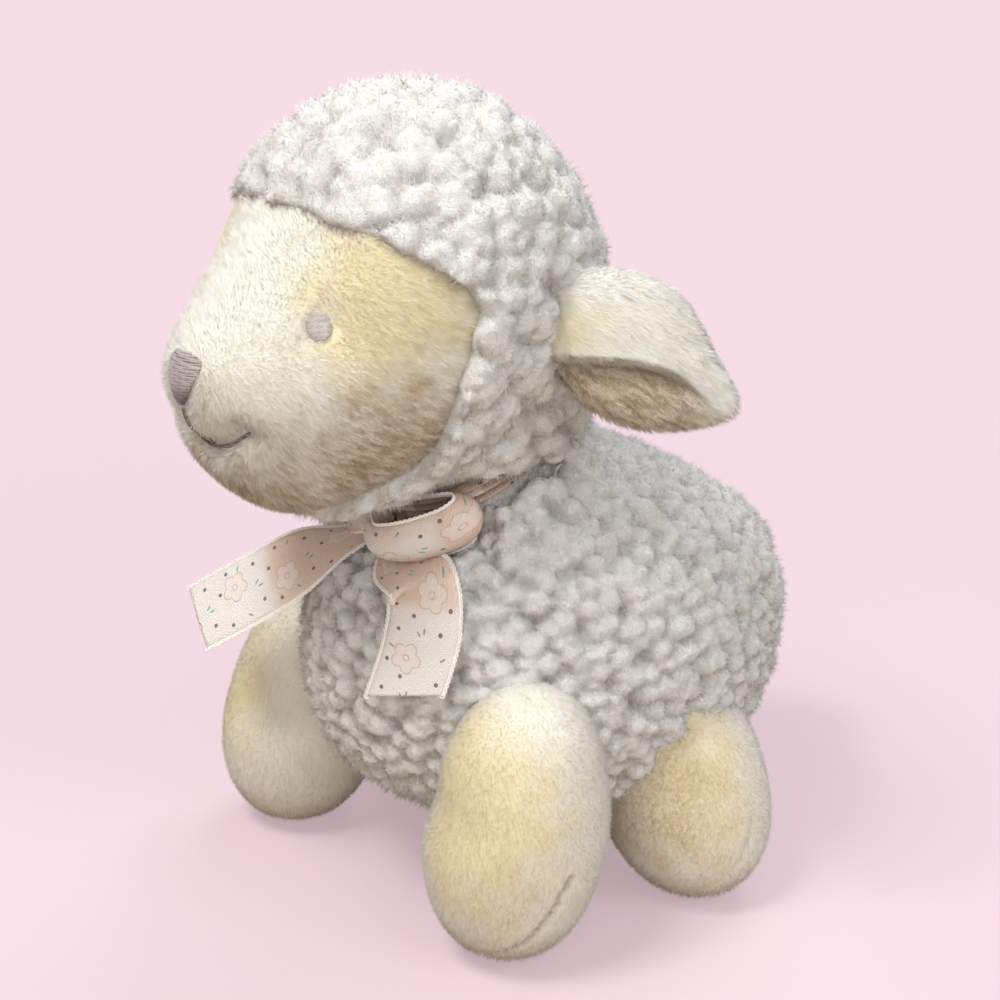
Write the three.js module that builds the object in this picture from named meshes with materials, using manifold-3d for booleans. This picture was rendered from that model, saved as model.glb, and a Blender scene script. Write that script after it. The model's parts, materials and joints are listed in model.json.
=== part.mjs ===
// A stuffed lamb that rests on its four feet, with a ribbon bow at its neck.
// Millimetres, +Z up. It faces -Y, and its own left side is +X.
import * as THREE from "three";
import { mergeVertices } from "three/addons/utils/BufferGeometryUtils.js";
import Module from "manifold-3d";

const wasm = await Module();
wasm.setup();

// Torso
const torsoHalfWidth = 51;
const torsoHalfLength = 62;
const torsoHeight = 106;
const torsoBelly = 14; // floor to the lowest point of the belly
const torsoBack = 15; // feet centre back to the torso's widest section

// Neck
const neckForward = 11; // feet centre forward to the middle of the neck
const neckSunk = 10; // middle of the neck below the torso's top
const neckHeight = torsoBelly + torsoHeight - neckSunk;
const neckTilt = 30; // degrees that the neck leans forward of upright
const neckBall = 24; // radius of the packed fibre that the head turns on
const neckRim = 4.2; // torso's rim at the sides and back, below the middle of the neck
const bibDrop = 3.8; // the rim is lower under the bow
const bibForward = 13; // middle of the neck forward to where the rim drops
const skirtRadius = 30; // fleece that draws in below the head
const skirtDrop = 1; // skirt's lower edge below the middle of the neck
const skirtDepth = 23;
const nodDown = 3; // the chin comes down onto the bow
const nodUp = 12;

// Head
const headHalfWidth = 39;
const headHalfHeight = 42;
const headLength = 98.5;
const snoutReach = 70.5; // middle of the neck forward to the tip of the snout
const snoutRise = 26; // middle of the neck up to the middle of the snout
const headFront = neckForward + snoutReach;
const snoutHeight = neckHeight + snoutRise;
const woolProud = 3.5; // how far the fleece stands above the face
const chinShare = 0.74; // chin below the snout's middle, as a share of the half height

// Legs: each foot's place is a share of the torso's half width and half length
const legLength = 66.5;
const legHalfWidth = 20.5;
const legHalfDepth = 21;
const soleCut = 0.5; // depth of the flat that the toy rests on
const frontFootShares = { side: 0.922, back: -0.806 };
const hindFootShares = { side: 1.04, back: 0.19 };
const leftStepIn = 9; // the left front foot stands nearer the middle
const leftStepBack = 6.5; // and a little further back, below the same hip
const frontSplay = 9; // how far the leg's top lies inboard of its foot
const frontRake = 16; // how far the leg's top lies behind its foot
const hindSplay = 35;
const hindRake = 7; // how far the leg's top lies ahead of its foot
const hipShare = 0.72; // hip joint's height along the leg
const legSwing = 10;

// Ears: the root is back from the snout, out from the middle and up from the
// snout's middle, as shares of the head's length and half sizes
const earLength = 49;
const earHalfWidth = 15;
const earHalfThickness = 7;
const earRootShares = { back: 0.736, side: 0.923, up: 0.25 };
const earSunk = 8; // how far the ear starts inside the head
const earSwing = 12;

// Tail: the root is back and up, as shares of the torso's half length and height
const tailLength = 26;
const tailHalfWidth = 10;
const tailHalfThickness = 5;
const tailRootShares = { back: 0.95, up: 0.54 };
const tailSunk = 10;
const tailSwing = 10;

// Cloth and thread
const woolThickness = 3.5;
const velourThickness = 1.8;
const fillGap = 0.35; // between a cover and the filling inside it
const seamGap = 0.3; // between two cloth pieces that are sewn together
const runningGap = 0.45; // between two pieces that move past each other
const socketGap = 0.9; // round the neck's ball, at the corners of its facets
const threadRadius = 0.55;

// Embroidery
const eyeHalfWidth = 2.7;
const eyeHalfHeight = 3;
const eyeHalfDepth = 0.9;
const noseHalfWidth = 5.4;
const noseHalfHeight = 5.4;
const noseHalfDepth = 1.5;

// Ribbon
const ribbonWidth = 17;
const ribbonThickness = 0.6;
const collarWidth = 6; // the ribbon is gathered narrower round the neck
const loopWidth = 8;
const loopReach = 19;
const loopHalfDepth = 4.5;
const loopDrop = 1; // loops' middle below the middle of the neck
const loopCurlShare = 0.3; // how far a loop follows the chest round
const knotHalfWide = 4;
const knotHalfHigh = 4;
const knotHalfDeep = 4;
const knotDrop = 1.5;
const endDrop = 6.4; // the two ends leave from under the knot
const leftEndDrop = 28;
const rightEndReach = 53;

const degree = Math.PI / 180;
const across = new THREE.Vector3(1, 0, 0);
const upward = new THREE.Vector3(0, 0, 1);
const roomy = 2 * torsoHeight; // side of the blocks that cut a piece off flat

// Colours and finish
const fleeceFinish = new THREE.MeshStandardMaterial({ color: 0xf0eee9, roughness: 1, metalness: 0 });
const velourFinish = new THREE.MeshStandardMaterial({ color: 0xf0e2bd, roughness: 0.9, metalness: 0 });
const fibreFinish = new THREE.MeshStandardMaterial({ color: 0xfafafa, roughness: 1, metalness: 0 });
const threadFinish = new THREE.MeshStandardMaterial({ color: 0x8f8587, roughness: 0.6, metalness: 0 });
const satinFinish = new THREE.MeshStandardMaterial({ color: 0xe9c4b0, roughness: 0.35, metalness: 0 });

// A value from rows of shares, smooth from row to row.
function smoothValue(rows, key, at) {
  let i = 0;
  while (i < rows.length - 2 && at > rows[i + 1].at) i += 1;
  const row = (n) => rows[Math.min(Math.max(n, 0), rows.length - 1)];
  const [p0, p1, p2, p3] = [row(i - 1), row(i), row(i + 1), row(i + 2)];
  const span = p2.at - p1.at;
  const u = (at - p1.at) / span;
  const slopeIn = ((p2[key] - p0[key]) / (p2.at - p0.at)) * span;
  const slopeOut = ((p3[key] - p1[key]) / (p3.at - p1.at)) * span;
  return (
    (2 * u ** 3 - 3 * u ** 2 + 1) * p1[key] +
    (u ** 3 - 2 * u ** 2 + u) * slopeIn +
    (3 * u ** 2 - 2 * u ** 3) * p2[key] +
    (u ** 3 - u ** 2) * slopeOut
  );
}

// A stuffed form along +Z with round ends. Each row of shares swells or
// tapers the section there, and moves its middle.
function swellForm({ length, halfWide, halfDeep, shares, rings, segments, grow = 0 }) {
  const positions = [];
  const index = [];
  const reach = length / 2 + grow;
  for (let ring = 0; ring <= rings; ring += 1) {
    const angle = (Math.PI * ring) / rings;
    const at = (1 - Math.cos(angle)) / 2;
    const round = Math.sin(angle);
    const z = length / 2 - reach * Math.cos(angle);
    const x = halfWide * smoothValue(shares, "wide", at) * round + grow * round;
    const y = halfDeep * smoothValue(shares, "deep", at) * round + grow * round;
    const middle = halfDeep * smoothValue(shares, "lean", at);
    const pole = ring === 0 || ring === rings;
    for (let k = 0; k < (pole ? 1 : segments); k += 1) {
      const turn = (2 * Math.PI * k) / segments;
      positions.push(pole ? 0 : x * Math.sin(turn), middle - (pole ? 0 : y * Math.cos(turn)), z);
    }
  }
  const first = (ring) => (ring === 0 ? 0 : 1 + (ring - 1) * segments);
  for (let k = 0; k < segments; k += 1) {
    const next = (k + 1) % segments;
    index.push(0, first(1) + next, first(1) + k);
    for (let ring = 1; ring < rings - 1; ring += 1) {
      const a = first(ring) + k;
      const b = first(ring) + next;
      const c = first(ring + 1) + k;
      const d = first(ring + 1) + next;
      index.push(a, b, d, a, d, c);
    }
    index.push(first(rings), first(rings - 1) + k, first(rings - 1) + next);
  }
  const geometry = new THREE.BufferGeometry();
  geometry.setAttribute("position", new THREE.Float32BufferAttribute(positions, 3));
  geometry.setIndex(index);
  return geometry;
}

// Manifold solids and back again
function solidOf(geometry) {
  const bare = geometry.clone();
  bare.deleteAttribute("normal");
  bare.deleteAttribute("uv");
  const merged = mergeVertices(bare, 1e-4);
  return new wasm.Manifold(
    new wasm.Mesh({
      numProp: 3,
      vertProperties: new Float32Array(merged.attributes.position.array),
      triVerts: new Uint32Array(merged.index.array),
    }),
  );
}

function geometryOf(solid) {
  const mesh = solid.getMesh();
  const geometry = new THREE.BufferGeometry();
  geometry.setAttribute("position", new THREE.BufferAttribute(mesh.vertProperties, 3));
  geometry.setIndex(new THREE.BufferAttribute(mesh.triVerts, 1));
  return geometry;
}

// A geometry turned about a line through a point
function turned(geometry, pivot, axis, degrees) {
  const matrix = new THREE.Matrix4()
    .makeTranslation(pivot)
    .multiply(new THREE.Matrix4().makeRotationAxis(axis, degrees * degree))
    .multiply(new THREE.Matrix4().makeTranslation(pivot.clone().negate()));
  return geometry.clone().applyMatrix4(matrix);
}

// What is left of a solid once a neighbour has swung past it, from one limit
// to the other
function clearOf(solid, neighbour, pivot, axis, from, to) {
  const steps = 3;
  let left = solid;
  for (let k = 0; k <= steps; k += 1) {
    const angle = from + ((to - from) * k) / steps;
    left = left.subtract(solidOf(turned(neighbour, pivot, axis, angle)));
  }
  return left;
}

// The same shape on the toy's other side
function mirrored(geometry) {
  const copy = geometry.clone().scale(-1, 1, 1);
  const index = copy.index.array;
  for (let k = 0; k < index.length; k += 3) [index[k], index[k + 1]] = [index[k + 1], index[k]];
  return copy;
}

// A block that reaches from a plane to well past the toy
function beyond(point, normal) {
  const block = new THREE.BoxGeometry(roomy, roomy, roomy).translate(0, 0, roomy / 2);
  block.applyQuaternion(new THREE.Quaternion().setFromUnitVectors(upward, normal));
  return block.translate(point.x, point.y, point.z);
}

// Pivots of the moving bodies
const neckAxis = new THREE.Vector3(0, -Math.sin(neckTilt * degree), Math.cos(neckTilt * degree));
const neckFront = new THREE.Vector3(0, -Math.cos(neckTilt * degree), -Math.sin(neckTilt * degree));
const neckCentre = new THREE.Vector3(0, -neckForward, neckHeight);

// A point in the neck's own directions: left, forward and along the neck
function neckPoint(left, forward, along) {
  return neckCentre
    .clone()
    .addScaledVector(across, left)
    .addScaledVector(neckFront, forward)
    .addScaledVector(neckAxis, along);
}

// Each moving body is a group at its pivot
const lamb = new THREE.Group();
function bodyAt(pivot) {
  const body = new THREE.Group();
  body.position.copy(pivot);
  lamb.add(body);
  return body;
}

function addPiece(body, name, shape, material) {
  const geometry = shape.isBufferGeometry ? shape.clone() : geometryOf(shape);
  const { x, y, z } = body.position;
  const mesh = new THREE.Mesh(geometry.translate(-x, -y, -z), material);
  mesh.name = name;
  body.add(mesh);
}

// Torso: level sections from belly to neck, leaning forward as they rise
const torsoShares = [
  { at: 0, wide: 1.3, deep: 1.3, lean: 0 },
  { at: 0.15, wide: 1.17, deep: 1.17, lean: 0 },
  { at: 0.34, wide: 1.05, deep: 1.05, lean: 0 },
  { at: 0.5, wide: 0.98, deep: 1, lean: 0 },
  { at: 0.64, wide: 0.93, deep: 0.92, lean: -0.05 },
  { at: 0.77, wide: 0.87, deep: 0.78, lean: -0.15 },
  { at: 0.88, wide: 0.88, deep: 0.68, lean: -0.31 },
  { at: 1, wide: 1.3, deep: 1, lean: -0.38 },
];
function torsoForm(grow) {
  return swellForm({
    length: torsoHeight,
    halfWide: torsoHalfWidth,
    halfDeep: torsoHalfLength,
    shares: torsoShares,
    rings: 12,
    segments: 22,
    grow,
  }).translate(0, torsoBack, torsoBelly);
}

function neckSphere(radius) {
  return new THREE.SphereGeometry(radius, 20, 12).translate(neckCentre.x, neckCentre.y, neckCentre.z);
}

// Torso without what lies above the neck's rim, which dips under the bow
function torsoBelowRim(grow) {
  const rim = neckPoint(0, 0, grow - neckRim);
  const dip = neckPoint(0, 0, grow - neckRim - bibDrop);
  const ahead = neckPoint(0, bibForward + grow, 0);
  const bib = solidOf(beyond(dip, neckAxis)).intersect(solidOf(beyond(ahead, neckFront)));
  return solidOf(torsoForm(grow)).subtract(solidOf(beyond(rim, neckAxis))).subtract(bib);
}

function makeTorso(body) {
  const socket = solidOf(neckSphere(neckBall + socketGap));
  const cover = torsoBelowRim(0).subtract(torsoBelowRim(-woolThickness)).subtract(socket);
  addPiece(body, "torso_cover", cover, fleeceFinish);
  const filling = torsoBelowRim(-woolThickness - fillGap).subtract(socket);
  addPiece(body, "torso_stuffing", filling, fibreFinish);
}

// A band round the neck, between two radii
function neckBand(inside, outside, width) {
  const profile = [
    new THREE.Vector2(inside, -width / 2),
    new THREE.Vector2(outside, -width / 2),
    new THREE.Vector2(outside, width / 2),
    new THREE.Vector2(inside, width / 2),
    new THREE.Vector2(inside, -width / 2),
  ];
  const band = new THREE.LatheGeometry(profile, 32).rotateX(90 * degree);
  band.applyQuaternion(new THREE.Quaternion().setFromUnitVectors(upward, neckAxis));
  return solidOf(band.translate(neckCentre.x, neckCentre.y, neckCentre.z));
}

// The neck's filling is drawn in by the ribbon, which lies in a groove
const collarInside = Math.sqrt(neckBall ** 2 - (collarWidth / 2) ** 2) - ribbonThickness;
function makeNeck(body) {
  const groove = neckBand(collarInside - runningGap, 2 * neckBall, collarWidth + 2 * runningGap);
  addPiece(body, "neck_stuffing", solidOf(neckSphere(neckBall)).subtract(groove), fibreFinish);
}

// Head: upright sections from the back of the head to the snout
const headShares = [
  { at: 0, wide: 0.95, deep: 0.8, lean: 0.24 },
  { at: 0.03, wide: 0.99, deep: 0.87, lean: 0.24 },
  { at: 0.1, wide: 1.04, deep: 0.93, lean: 0.26 },
  { at: 0.19, wide: 1.02, deep: 0.974, lean: 0.28 },
  { at: 0.29, wide: 1, deep: 0.984, lean: 0.3 },
  { at: 0.43, wide: 0.996, deep: 0.961, lean: 0.29 },
  { at: 0.58, wide: 0.987, deep: 0.953, lean: 0.21 },
  { at: 0.68, wide: 0.96, deep: 0.94, lean: 0.13 },
  { at: 0.74, wide: 0.94, deep: 0.89, lean: 0.02 },
  { at: 0.81, wide: 0.917, deep: 0.85, lean: -0.08 },
  { at: 0.89, wide: 0.9, deep: 0.8, lean: -0.12 },
  { at: 0.96, wide: 0.93, deep: 0.79, lean: -0.1 },
  { at: 1, wide: 1, deep: 0.85, lean: -0.04 },
];
function headForm(grow) {
  return swellForm({
    length: headLength,
    halfWide: headHalfWidth,
    halfDeep: headHalfHeight,
    shares: headShares,
    rings: 13,
    segments: 22,
    grow,
  })
    .rotateX(90 * degree)
    .translate(0, headLength - headFront, snoutHeight);
}

// The seam between face and fleece, seen from the side: each point is set
// back from the snout and up from the chin, as shares of the head's size.
const seamShares = [
  [0.12, 0.93],
  [0.25, 0.8],
  [0.36, 0.71],
  [0.45, 0.645],
  [0.495, 0.54],
  [0.455, 0.38],
  [0.43, 0.17],
  [0.35, 0.06],
  [0.25, -0.05],
];
const chinHeight = snoutHeight - chinShare * headHalfHeight;
function faceRegion(spread) {
  const points = seamShares.map(
    ([back, up]) => new THREE.Vector2(back * headLength - headFront, chinHeight + up * 2 * headHalfHeight),
  );
  const curve = new THREE.SplineCurve(points);
  const pieces = 2 * (points.length - 1);
  const edge = curve.getPoints(pieces).map((point, k) => {
    const along = curve.getTangent(k / pieces);
    return new THREE.Vector2(point.x - along.y * spread, point.y + along.x * spread);
  });
  const ahead = new THREE.Vector2(-headLength, 0);
  edge.push(edge[edge.length - 1].clone().add(ahead), edge[0].clone().add(ahead));
  const block = new THREE.ExtrudeGeometry(new THREE.Shape(edge), { depth: roomy, bevelEnabled: false });
  return solidOf(block.translate(0, 0, -roomy / 2).rotateX(90 * degree).rotateZ(90 * degree));
}

// Where the fleece draws in below the head, down to the ribbon
function neckSkirt() {
  const skirt = new THREE.CylinderGeometry(skirtRadius, skirtRadius, skirtDepth, 24);
  skirt.rotateX(90 * degree).translate(0, -neckForward, neckHeight - skirtDrop + skirtDepth / 2);
  return solidOf(skirt);
}

// A head piece without what the neck and the torso need when the head nods
function clearOfNeck(solid) {
  const rim = beyond(neckPoint(0, 0, runningGap - neckRim), neckAxis.clone().negate());
  const open = solid.subtract(solidOf(neckSphere(neckBall + socketGap)));
  return clearOf(open, rim, neckCentre, across, -nodDown, nodUp);
}

// A point on the face and the way the cloth faces there, found along a line
// that runs level from outside towards the middle of the head
function facePoint(from, towards) {
  const face = new THREE.Mesh(headForm(0), new THREE.MeshBasicMaterial({ side: THREE.DoubleSide }));
  const way = towards.clone().sub(from).normalize();
  const hit = new THREE.Raycaster(from, way).intersectObject(face)[0];
  const normal = hit.face.normal.clone();
  return { point: hit.point, normal: normal.dot(way) > 0 ? normal.negate() : normal };
}

// A flat oval of thread let into the face
function stitchedOval(seat, halfWide, halfHigh, halfDeep, grow, taper = 0) {
  const oval = new THREE.SphereGeometry(1, 12, 6).rotateX(90 * degree);
  oval.scale(halfWide + grow, halfHigh + grow, halfDeep + grow);
  const place = oval.attributes.position;
  for (let k = 0; k < place.count; k += 1) {
    place.setX(k, place.getX(k) * (1 + (taper * place.getY(k)) / halfHigh));
  }
  const sideways = new THREE.Vector3().crossVectors(upward, seat.normal).normalize();
  const upwards = new THREE.Vector3().crossVectors(seat.normal, sideways);
  oval.applyMatrix4(new THREE.Matrix4().makeBasis(sideways, upwards, seat.normal));
  return oval.translate(seat.point.x, seat.point.y, seat.point.z);
}

// A row of stitches as one thread along points on the face, with room round
// it and past its two ends
function stitchedLine(points, room) {
  const sides = 6;
  const radius = threadRadius + room;
  const past = (end, inner) => end.clone().sub(inner).normalize().multiplyScalar(room).add(end);
  const last = points.length - 1;
  const start = past(points[0], points[1]);
  const finish = past(points[last], points[last - 1]);
  const path = new THREE.CatmullRomCurve3([start, ...points.slice(1, last), finish]);
  const section = new THREE.Shape();
  for (let k = 0; k < sides; k += 1) {
    const turn = (2 * Math.PI * k) / sides;
    if (k === 0) section.moveTo(radius, 0);
    else section.lineTo(radius * Math.cos(turn), radius * Math.sin(turn));
  }
  return new THREE.ExtrudeGeometry(section, { steps: 6, extrudePath: path, bevelEnabled: false });
}

// Places on the face, as shares of the head's size: back from the snout and
// up from the chin on the left cheek, or left from the middle on the front.
const eyeShares = { back: 0.193, up: 0.525 };
const noseShares = { left: 0, up: 0.375 };
const philtrumShares = [
  { left: 0, up: 0.3 },
  { left: 0, up: 0.26 },
  { left: 0, up: 0.215 },
];
const mouthShares = [
  { left: -0.36, up: 0.265 },
  { left: -0.18, up: 0.22 },
  { left: 0, up: 0.195 },
  { left: 0.18, up: 0.22 },
  { left: 0.36, up: 0.265 },
];
function cheekSeat({ back, up }) {
  const y = back * headLength - headFront;
  const z = chinHeight + up * 2 * headHalfHeight;
  return facePoint(new THREE.Vector3(2 * headHalfWidth, y, z), new THREE.Vector3(0, y, z));
}

function frontSeat({ left, up }) {
  const z = chinHeight + up * 2 * headHalfHeight;
  const x = left * headHalfWidth;
  return facePoint(new THREE.Vector3(x, -2 * headFront, z), new THREE.Vector3(x, 0, z));
}

function makeHead(body) {
  const inner = solidOf(headForm(-velourThickness));
  const eye = cheekSeat(eyeShares);
  const nose = frontSeat(noseShares);
  const philtrum = philtrumShares.map((place) => frontSeat(place).point);
  const mouth = mouthShares.map((place) => frontSeat(place).point);
  const eyeOval = (grow) => stitchedOval(eye, eyeHalfWidth, eyeHalfHeight, eyeHalfDepth, grow);
  const noseOval = (grow) => stitchedOval(nose, noseHalfWidth, noseHalfHeight, noseHalfDepth, grow, 0.3);

  let hood = solidOf(headForm(woolProud)).add(neckSkirt());
  hood = clearOfNeck(hood.subtract(inner).subtract(faceRegion(seamGap / 2)));
  addPiece(body, "head_hood", hood, fleeceFinish);

  let face = solidOf(headForm(0)).intersect(faceRegion(-seamGap / 2)).subtract(inner);
  face = face.subtract(solidOf(eyeOval(seamGap))).subtract(solidOf(mirrored(eyeOval(seamGap))));
  face = face.subtract(solidOf(noseOval(seamGap)));
  face = face.subtract(solidOf(stitchedLine(philtrum, seamGap)));
  face = face.subtract(solidOf(stitchedLine(mouth, seamGap)));
  addPiece(body, "face_panel", clearOfNeck(face), velourFinish);

  const filling = solidOf(headForm(-velourThickness - fillGap));
  addPiece(body, "head_stuffing", clearOfNeck(filling), fibreFinish);
  addPiece(body, "eye_left", eyeOval(0), threadFinish);
  addPiece(body, "eye_right", mirrored(eyeOval(0)), threadFinish);
  addPiece(body, "nose_embroidery", noseOval(0), threadFinish);
  addPiece(body, "philtrum_stitches", stitchedLine(philtrum, 0), threadFinish);
  addPiece(body, "mouth_stitches", stitchedLine(mouth, 0), threadFinish);
}

// Ear: a flat leaf of two cloth panels with padding between, standing out
// from the side of the head and drooping a little
const earOut = new THREE.Vector3(0.74, 0.47, -0.44).normalize();
const earFace = new THREE.Vector3(0.64, -0.69, 0.34).projectOnPlane(earOut).normalize();
const earHinge = new THREE.Vector3().crossVectors(earFace, earOut);
const earRoot = new THREE.Vector3(
  earRootShares.side * headHalfWidth,
  earRootShares.back * headLength - headFront,
  snoutHeight + earRootShares.up * headHalfHeight,
);
const earShares = [
  { at: 0, wide: 0.8, deep: 1.1, lean: 0 },
  { at: 0.16, wide: 0.9, deep: 1.1, lean: 0 },
  { at: 0.35, wide: 0.98, deep: 1.05, lean: 0 },
  { at: 0.55, wide: 1, deep: 0.95, lean: 0 },
  { at: 0.75, wide: 0.9, deep: 0.85, lean: 0 },
  { at: 0.9, wide: 0.72, deep: 0.72, lean: 0 },
  { at: 1, wide: 0.55, deep: 0.65, lean: 0 },
];
function earForm(grow) {
  const form = swellForm({
    length: earLength,
    halfWide: earHalfWidth,
    halfDeep: earHalfThickness,
    shares: earShares,
    rings: 8,
    segments: 12,
    grow,
  }).translate(0, 0, -earSunk);
  form.applyMatrix4(new THREE.Matrix4().makeBasis(earHinge, earFace, earOut));
  return form.translate(earRoot.x, earRoot.y, earRoot.z);
}

function makeEar(body, side) {
  const hood = headForm(woolProud + runningGap);
  const shell = solidOf(earForm(0)).subtract(solidOf(earForm(-velourThickness)));
  const middle = seamGap / 2;
  const halves = [
    ["inner", beyond(earRoot.clone().addScaledVector(earFace, middle), earFace)],
    ["outer", beyond(earRoot.clone().addScaledVector(earFace, -middle), earFace.clone().negate())],
  ];
  const place = (solid) => {
    const cut = geometryOf(clearOf(solid, hood, earRoot, earHinge, -earSwing, earSwing));
    return side === "left" ? cut : mirrored(cut);
  };
  for (const [name, block] of halves) {
    addPiece(body, `ear_${side}_${name}_panel`, place(shell.intersect(solidOf(block))), velourFinish);
  }
  const padding = solidOf(earForm(-velourThickness - fillGap));
  addPiece(body, `ear_${side}_padding`, place(padding), fibreFinish);
}

// Leg: a stout round-ended form from the sole up into the torso
const legShares = [
  { at: 0, wide: 1.12, deep: 1.12, lean: 0 },
  { at: 0.12, wide: 1.08, deep: 1.08, lean: 0 },
  { at: 0.3, wide: 1.02, deep: 1.02, lean: 0 },
  { at: 0.5, wide: 0.99, deep: 0.99, lean: 0 },
  { at: 0.75, wide: 0.97, deep: 0.97, lean: 0 },
  { at: 1, wide: 1.05, deep: 1.05, lean: 0 },
];
function legForm(grow, foot) {
  const shape = (spread) => {
    const form = swellForm({
      length: legLength,
      halfWide: legHalfWidth,
      halfDeep: legHalfDepth,
      shares: legShares,
      rings: 9,
      segments: 14,
      grow: spread,
    });
    return form.applyQuaternion(new THREE.Quaternion().setFromUnitVectors(upward, foot.lean));
  };
  const plain = shape(0);
  plain.computeBoundingBox();
  return shape(grow).translate(foot.sole.x, foot.sole.y, -plain.boundingBox.min.z - soleCut);
}

function soleAt({ side, back }) {
  return new THREE.Vector3(side * torsoHalfWidth, torsoBack + back * torsoHalfLength, 0);
}
const feet = {
  front: {
    sole: soleAt(frontFootShares),
    lean: new THREE.Vector3(-frontSplay, frontRake, legLength).normalize(),
  },
  hind: {
    sole: soleAt(hindFootShares),
    lean: new THREE.Vector3(-hindSplay, -hindRake, legLength).normalize(),
  },
};
function hipOf(foot) {
  return foot.sole.clone().addScaledVector(foot.lean, hipShare * legLength);
}
const steppedSole = feet.front.sole.clone().add(new THREE.Vector3(-leftStepIn, leftStepBack, 0));
feet.steppedFront = {
  sole: steppedSole,
  lean: hipOf(feet.front).sub(steppedSole).normalize(),
};

function makeLeg(body, name, foot, side) {
  const torso = torsoForm(runningGap);
  const floor = beyond(new THREE.Vector3(), upward.clone().negate());
  const place = (solid) => {
    const cut = clearOf(solid, torso, hipOf(foot), across, -legSwing, legSwing).subtract(solidOf(floor));
    return side === "left" ? geometryOf(cut) : mirrored(geometryOf(cut));
  };
  const cover = solidOf(legForm(0, foot)).subtract(solidOf(legForm(-velourThickness, foot)));
  addPiece(body, `leg_${name}_${side}_cover`, place(cover), velourFinish);
  const filling = solidOf(legForm(-velourThickness - fillGap, foot));
  addPiece(body, `leg_${name}_${side}_stuffing`, place(filling), fibreFinish);
}

// Tail: a short flat form that lies down the back of the torso
const tailShares = [
  { at: 0, wide: 0.9, deep: 1, lean: 0 },
  { at: 0.5, wide: 1, deep: 1, lean: 0 },
  { at: 1, wide: 1.2, deep: 1.1, lean: 0 },
];
const tailOut = new THREE.Vector3(0, 0.66, -0.75).normalize();
const tailRoot = new THREE.Vector3(
  0,
  torsoBack + tailRootShares.back * torsoHalfLength,
  torsoBelly + tailRootShares.up * torsoHeight,
);
function tailForm(grow) {
  const form = swellForm({
    length: tailLength,
    halfWide: tailHalfWidth,
    halfDeep: tailHalfThickness,
    shares: tailShares,
    rings: 6,
    segments: 12,
    grow,
  }).translate(0, 0, -tailSunk);
  form.applyMatrix4(new THREE.Matrix4().makeBasis(across, tailOut.clone().cross(across), tailOut));
  return form.translate(tailRoot.x, tailRoot.y, tailRoot.z);
}

function makeTail(body) {
  const torso = torsoForm(runningGap);
  const place = (solid) => clearOf(solid, torso, tailRoot, across, -tailSwing, tailSwing);
  const cover = solidOf(tailForm(0)).subtract(solidOf(tailForm(-woolThickness)));
  addPiece(body, "tail_cover", place(cover), fleeceFinish);
  addPiece(body, "tail_stuffing", place(solidOf(tailForm(-woolThickness - fillGap))), fibreFinish);
}

// Ribbon: each stop is a place on its middle line, the way its width lies
// there, and that width
function ribbonSheet(stops) {
  const path = new THREE.CatmullRomCurve3(stops.map((stop) => stop.at));
  const positions = [];
  const index = [];
  stops.forEach((stop, k) => {
    const along = path.getTangent(k / (stops.length - 1));
    const wide = stop.across.clone().projectOnPlane(along).normalize();
    const thick = new THREE.Vector3().crossVectors(along, wide);
    for (const [w, t] of [[-1, -1], [1, -1], [1, 1], [-1, 1]]) {
      const corner = stop.at.clone().addScaledVector(wide, (w * stop.width) / 2);
      corner.addScaledVector(thick, (t * ribbonThickness) / 2);
      positions.push(...corner.toArray());
    }
    for (let side = 0; side < 4 && k > 0; side += 1) {
      const a = 4 * (k - 1) + side;
      const b = 4 * (k - 1) + ((side + 1) % 4);
      index.push(a, b, b + 4, a, b + 4, a + 4);
    }
  });
  const last = 4 * (stops.length - 1);
  index.push(0, 2, 1, 0, 3, 2, last, last + 1, last + 2, last, last + 2, last + 3);
  const geometry = new THREE.BufferGeometry();
  geometry.setAttribute("position", new THREE.Float32BufferAttribute(positions, 3));
  geometry.setIndex(index);
  return geometry;
}

const knotForward = collarInside + ribbonThickness + seamGap + knotHalfDeep;

function makeCollar(body) {
  const collar = neckBand(collarInside, collarInside + ribbonThickness, collarWidth);
  addPiece(body, "neck_ribbon", collar, satinFinish);
}

function makeKnot(body) {
  const knot = new THREE.SphereGeometry(1, 12, 8).scale(knotHalfWide, knotHalfDeep, knotHalfHigh);
  knot.applyQuaternion(new THREE.Quaternion().setFromUnitVectors(upward, neckAxis));
  const { x, y, z } = neckPoint(0, knotForward, -knotDrop);
  addPiece(body, "bow_knot", solidOf(knot.translate(x, y, z)), satinFinish);
}

// A loop runs out from the knot, round and back, as shares of its reach to
// the side and of its half depth forward
const loopShares = [
  [0, -0.35],
  [0.25, -0.95],
  [0.6, -1.25],
  [0.88, -1.35],
  [1, -0.75],
  [0.93, 0],
  [0.62, 0.75],
  [0.27, 0.95],
  [0, 0.35],
];
function makeLoop(body, side) {
  const start = knotHalfWide + seamGap;
  const stops = loopShares.map(([out, forward]) => {
    const curl = loopCurlShare * loopReach * out ** 2;
    return {
      at: neckPoint(start + out * loopReach, knotForward + forward * loopHalfDepth - curl, -loopDrop),
      across: neckAxis,
      width: loopWidth,
    };
  });
  const sheet = ribbonSheet(stops);
  addPiece(body, `bow_loop_${side}`, solidOf(side === "left" ? sheet : mirrored(sheet)), satinFinish);
}

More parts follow.
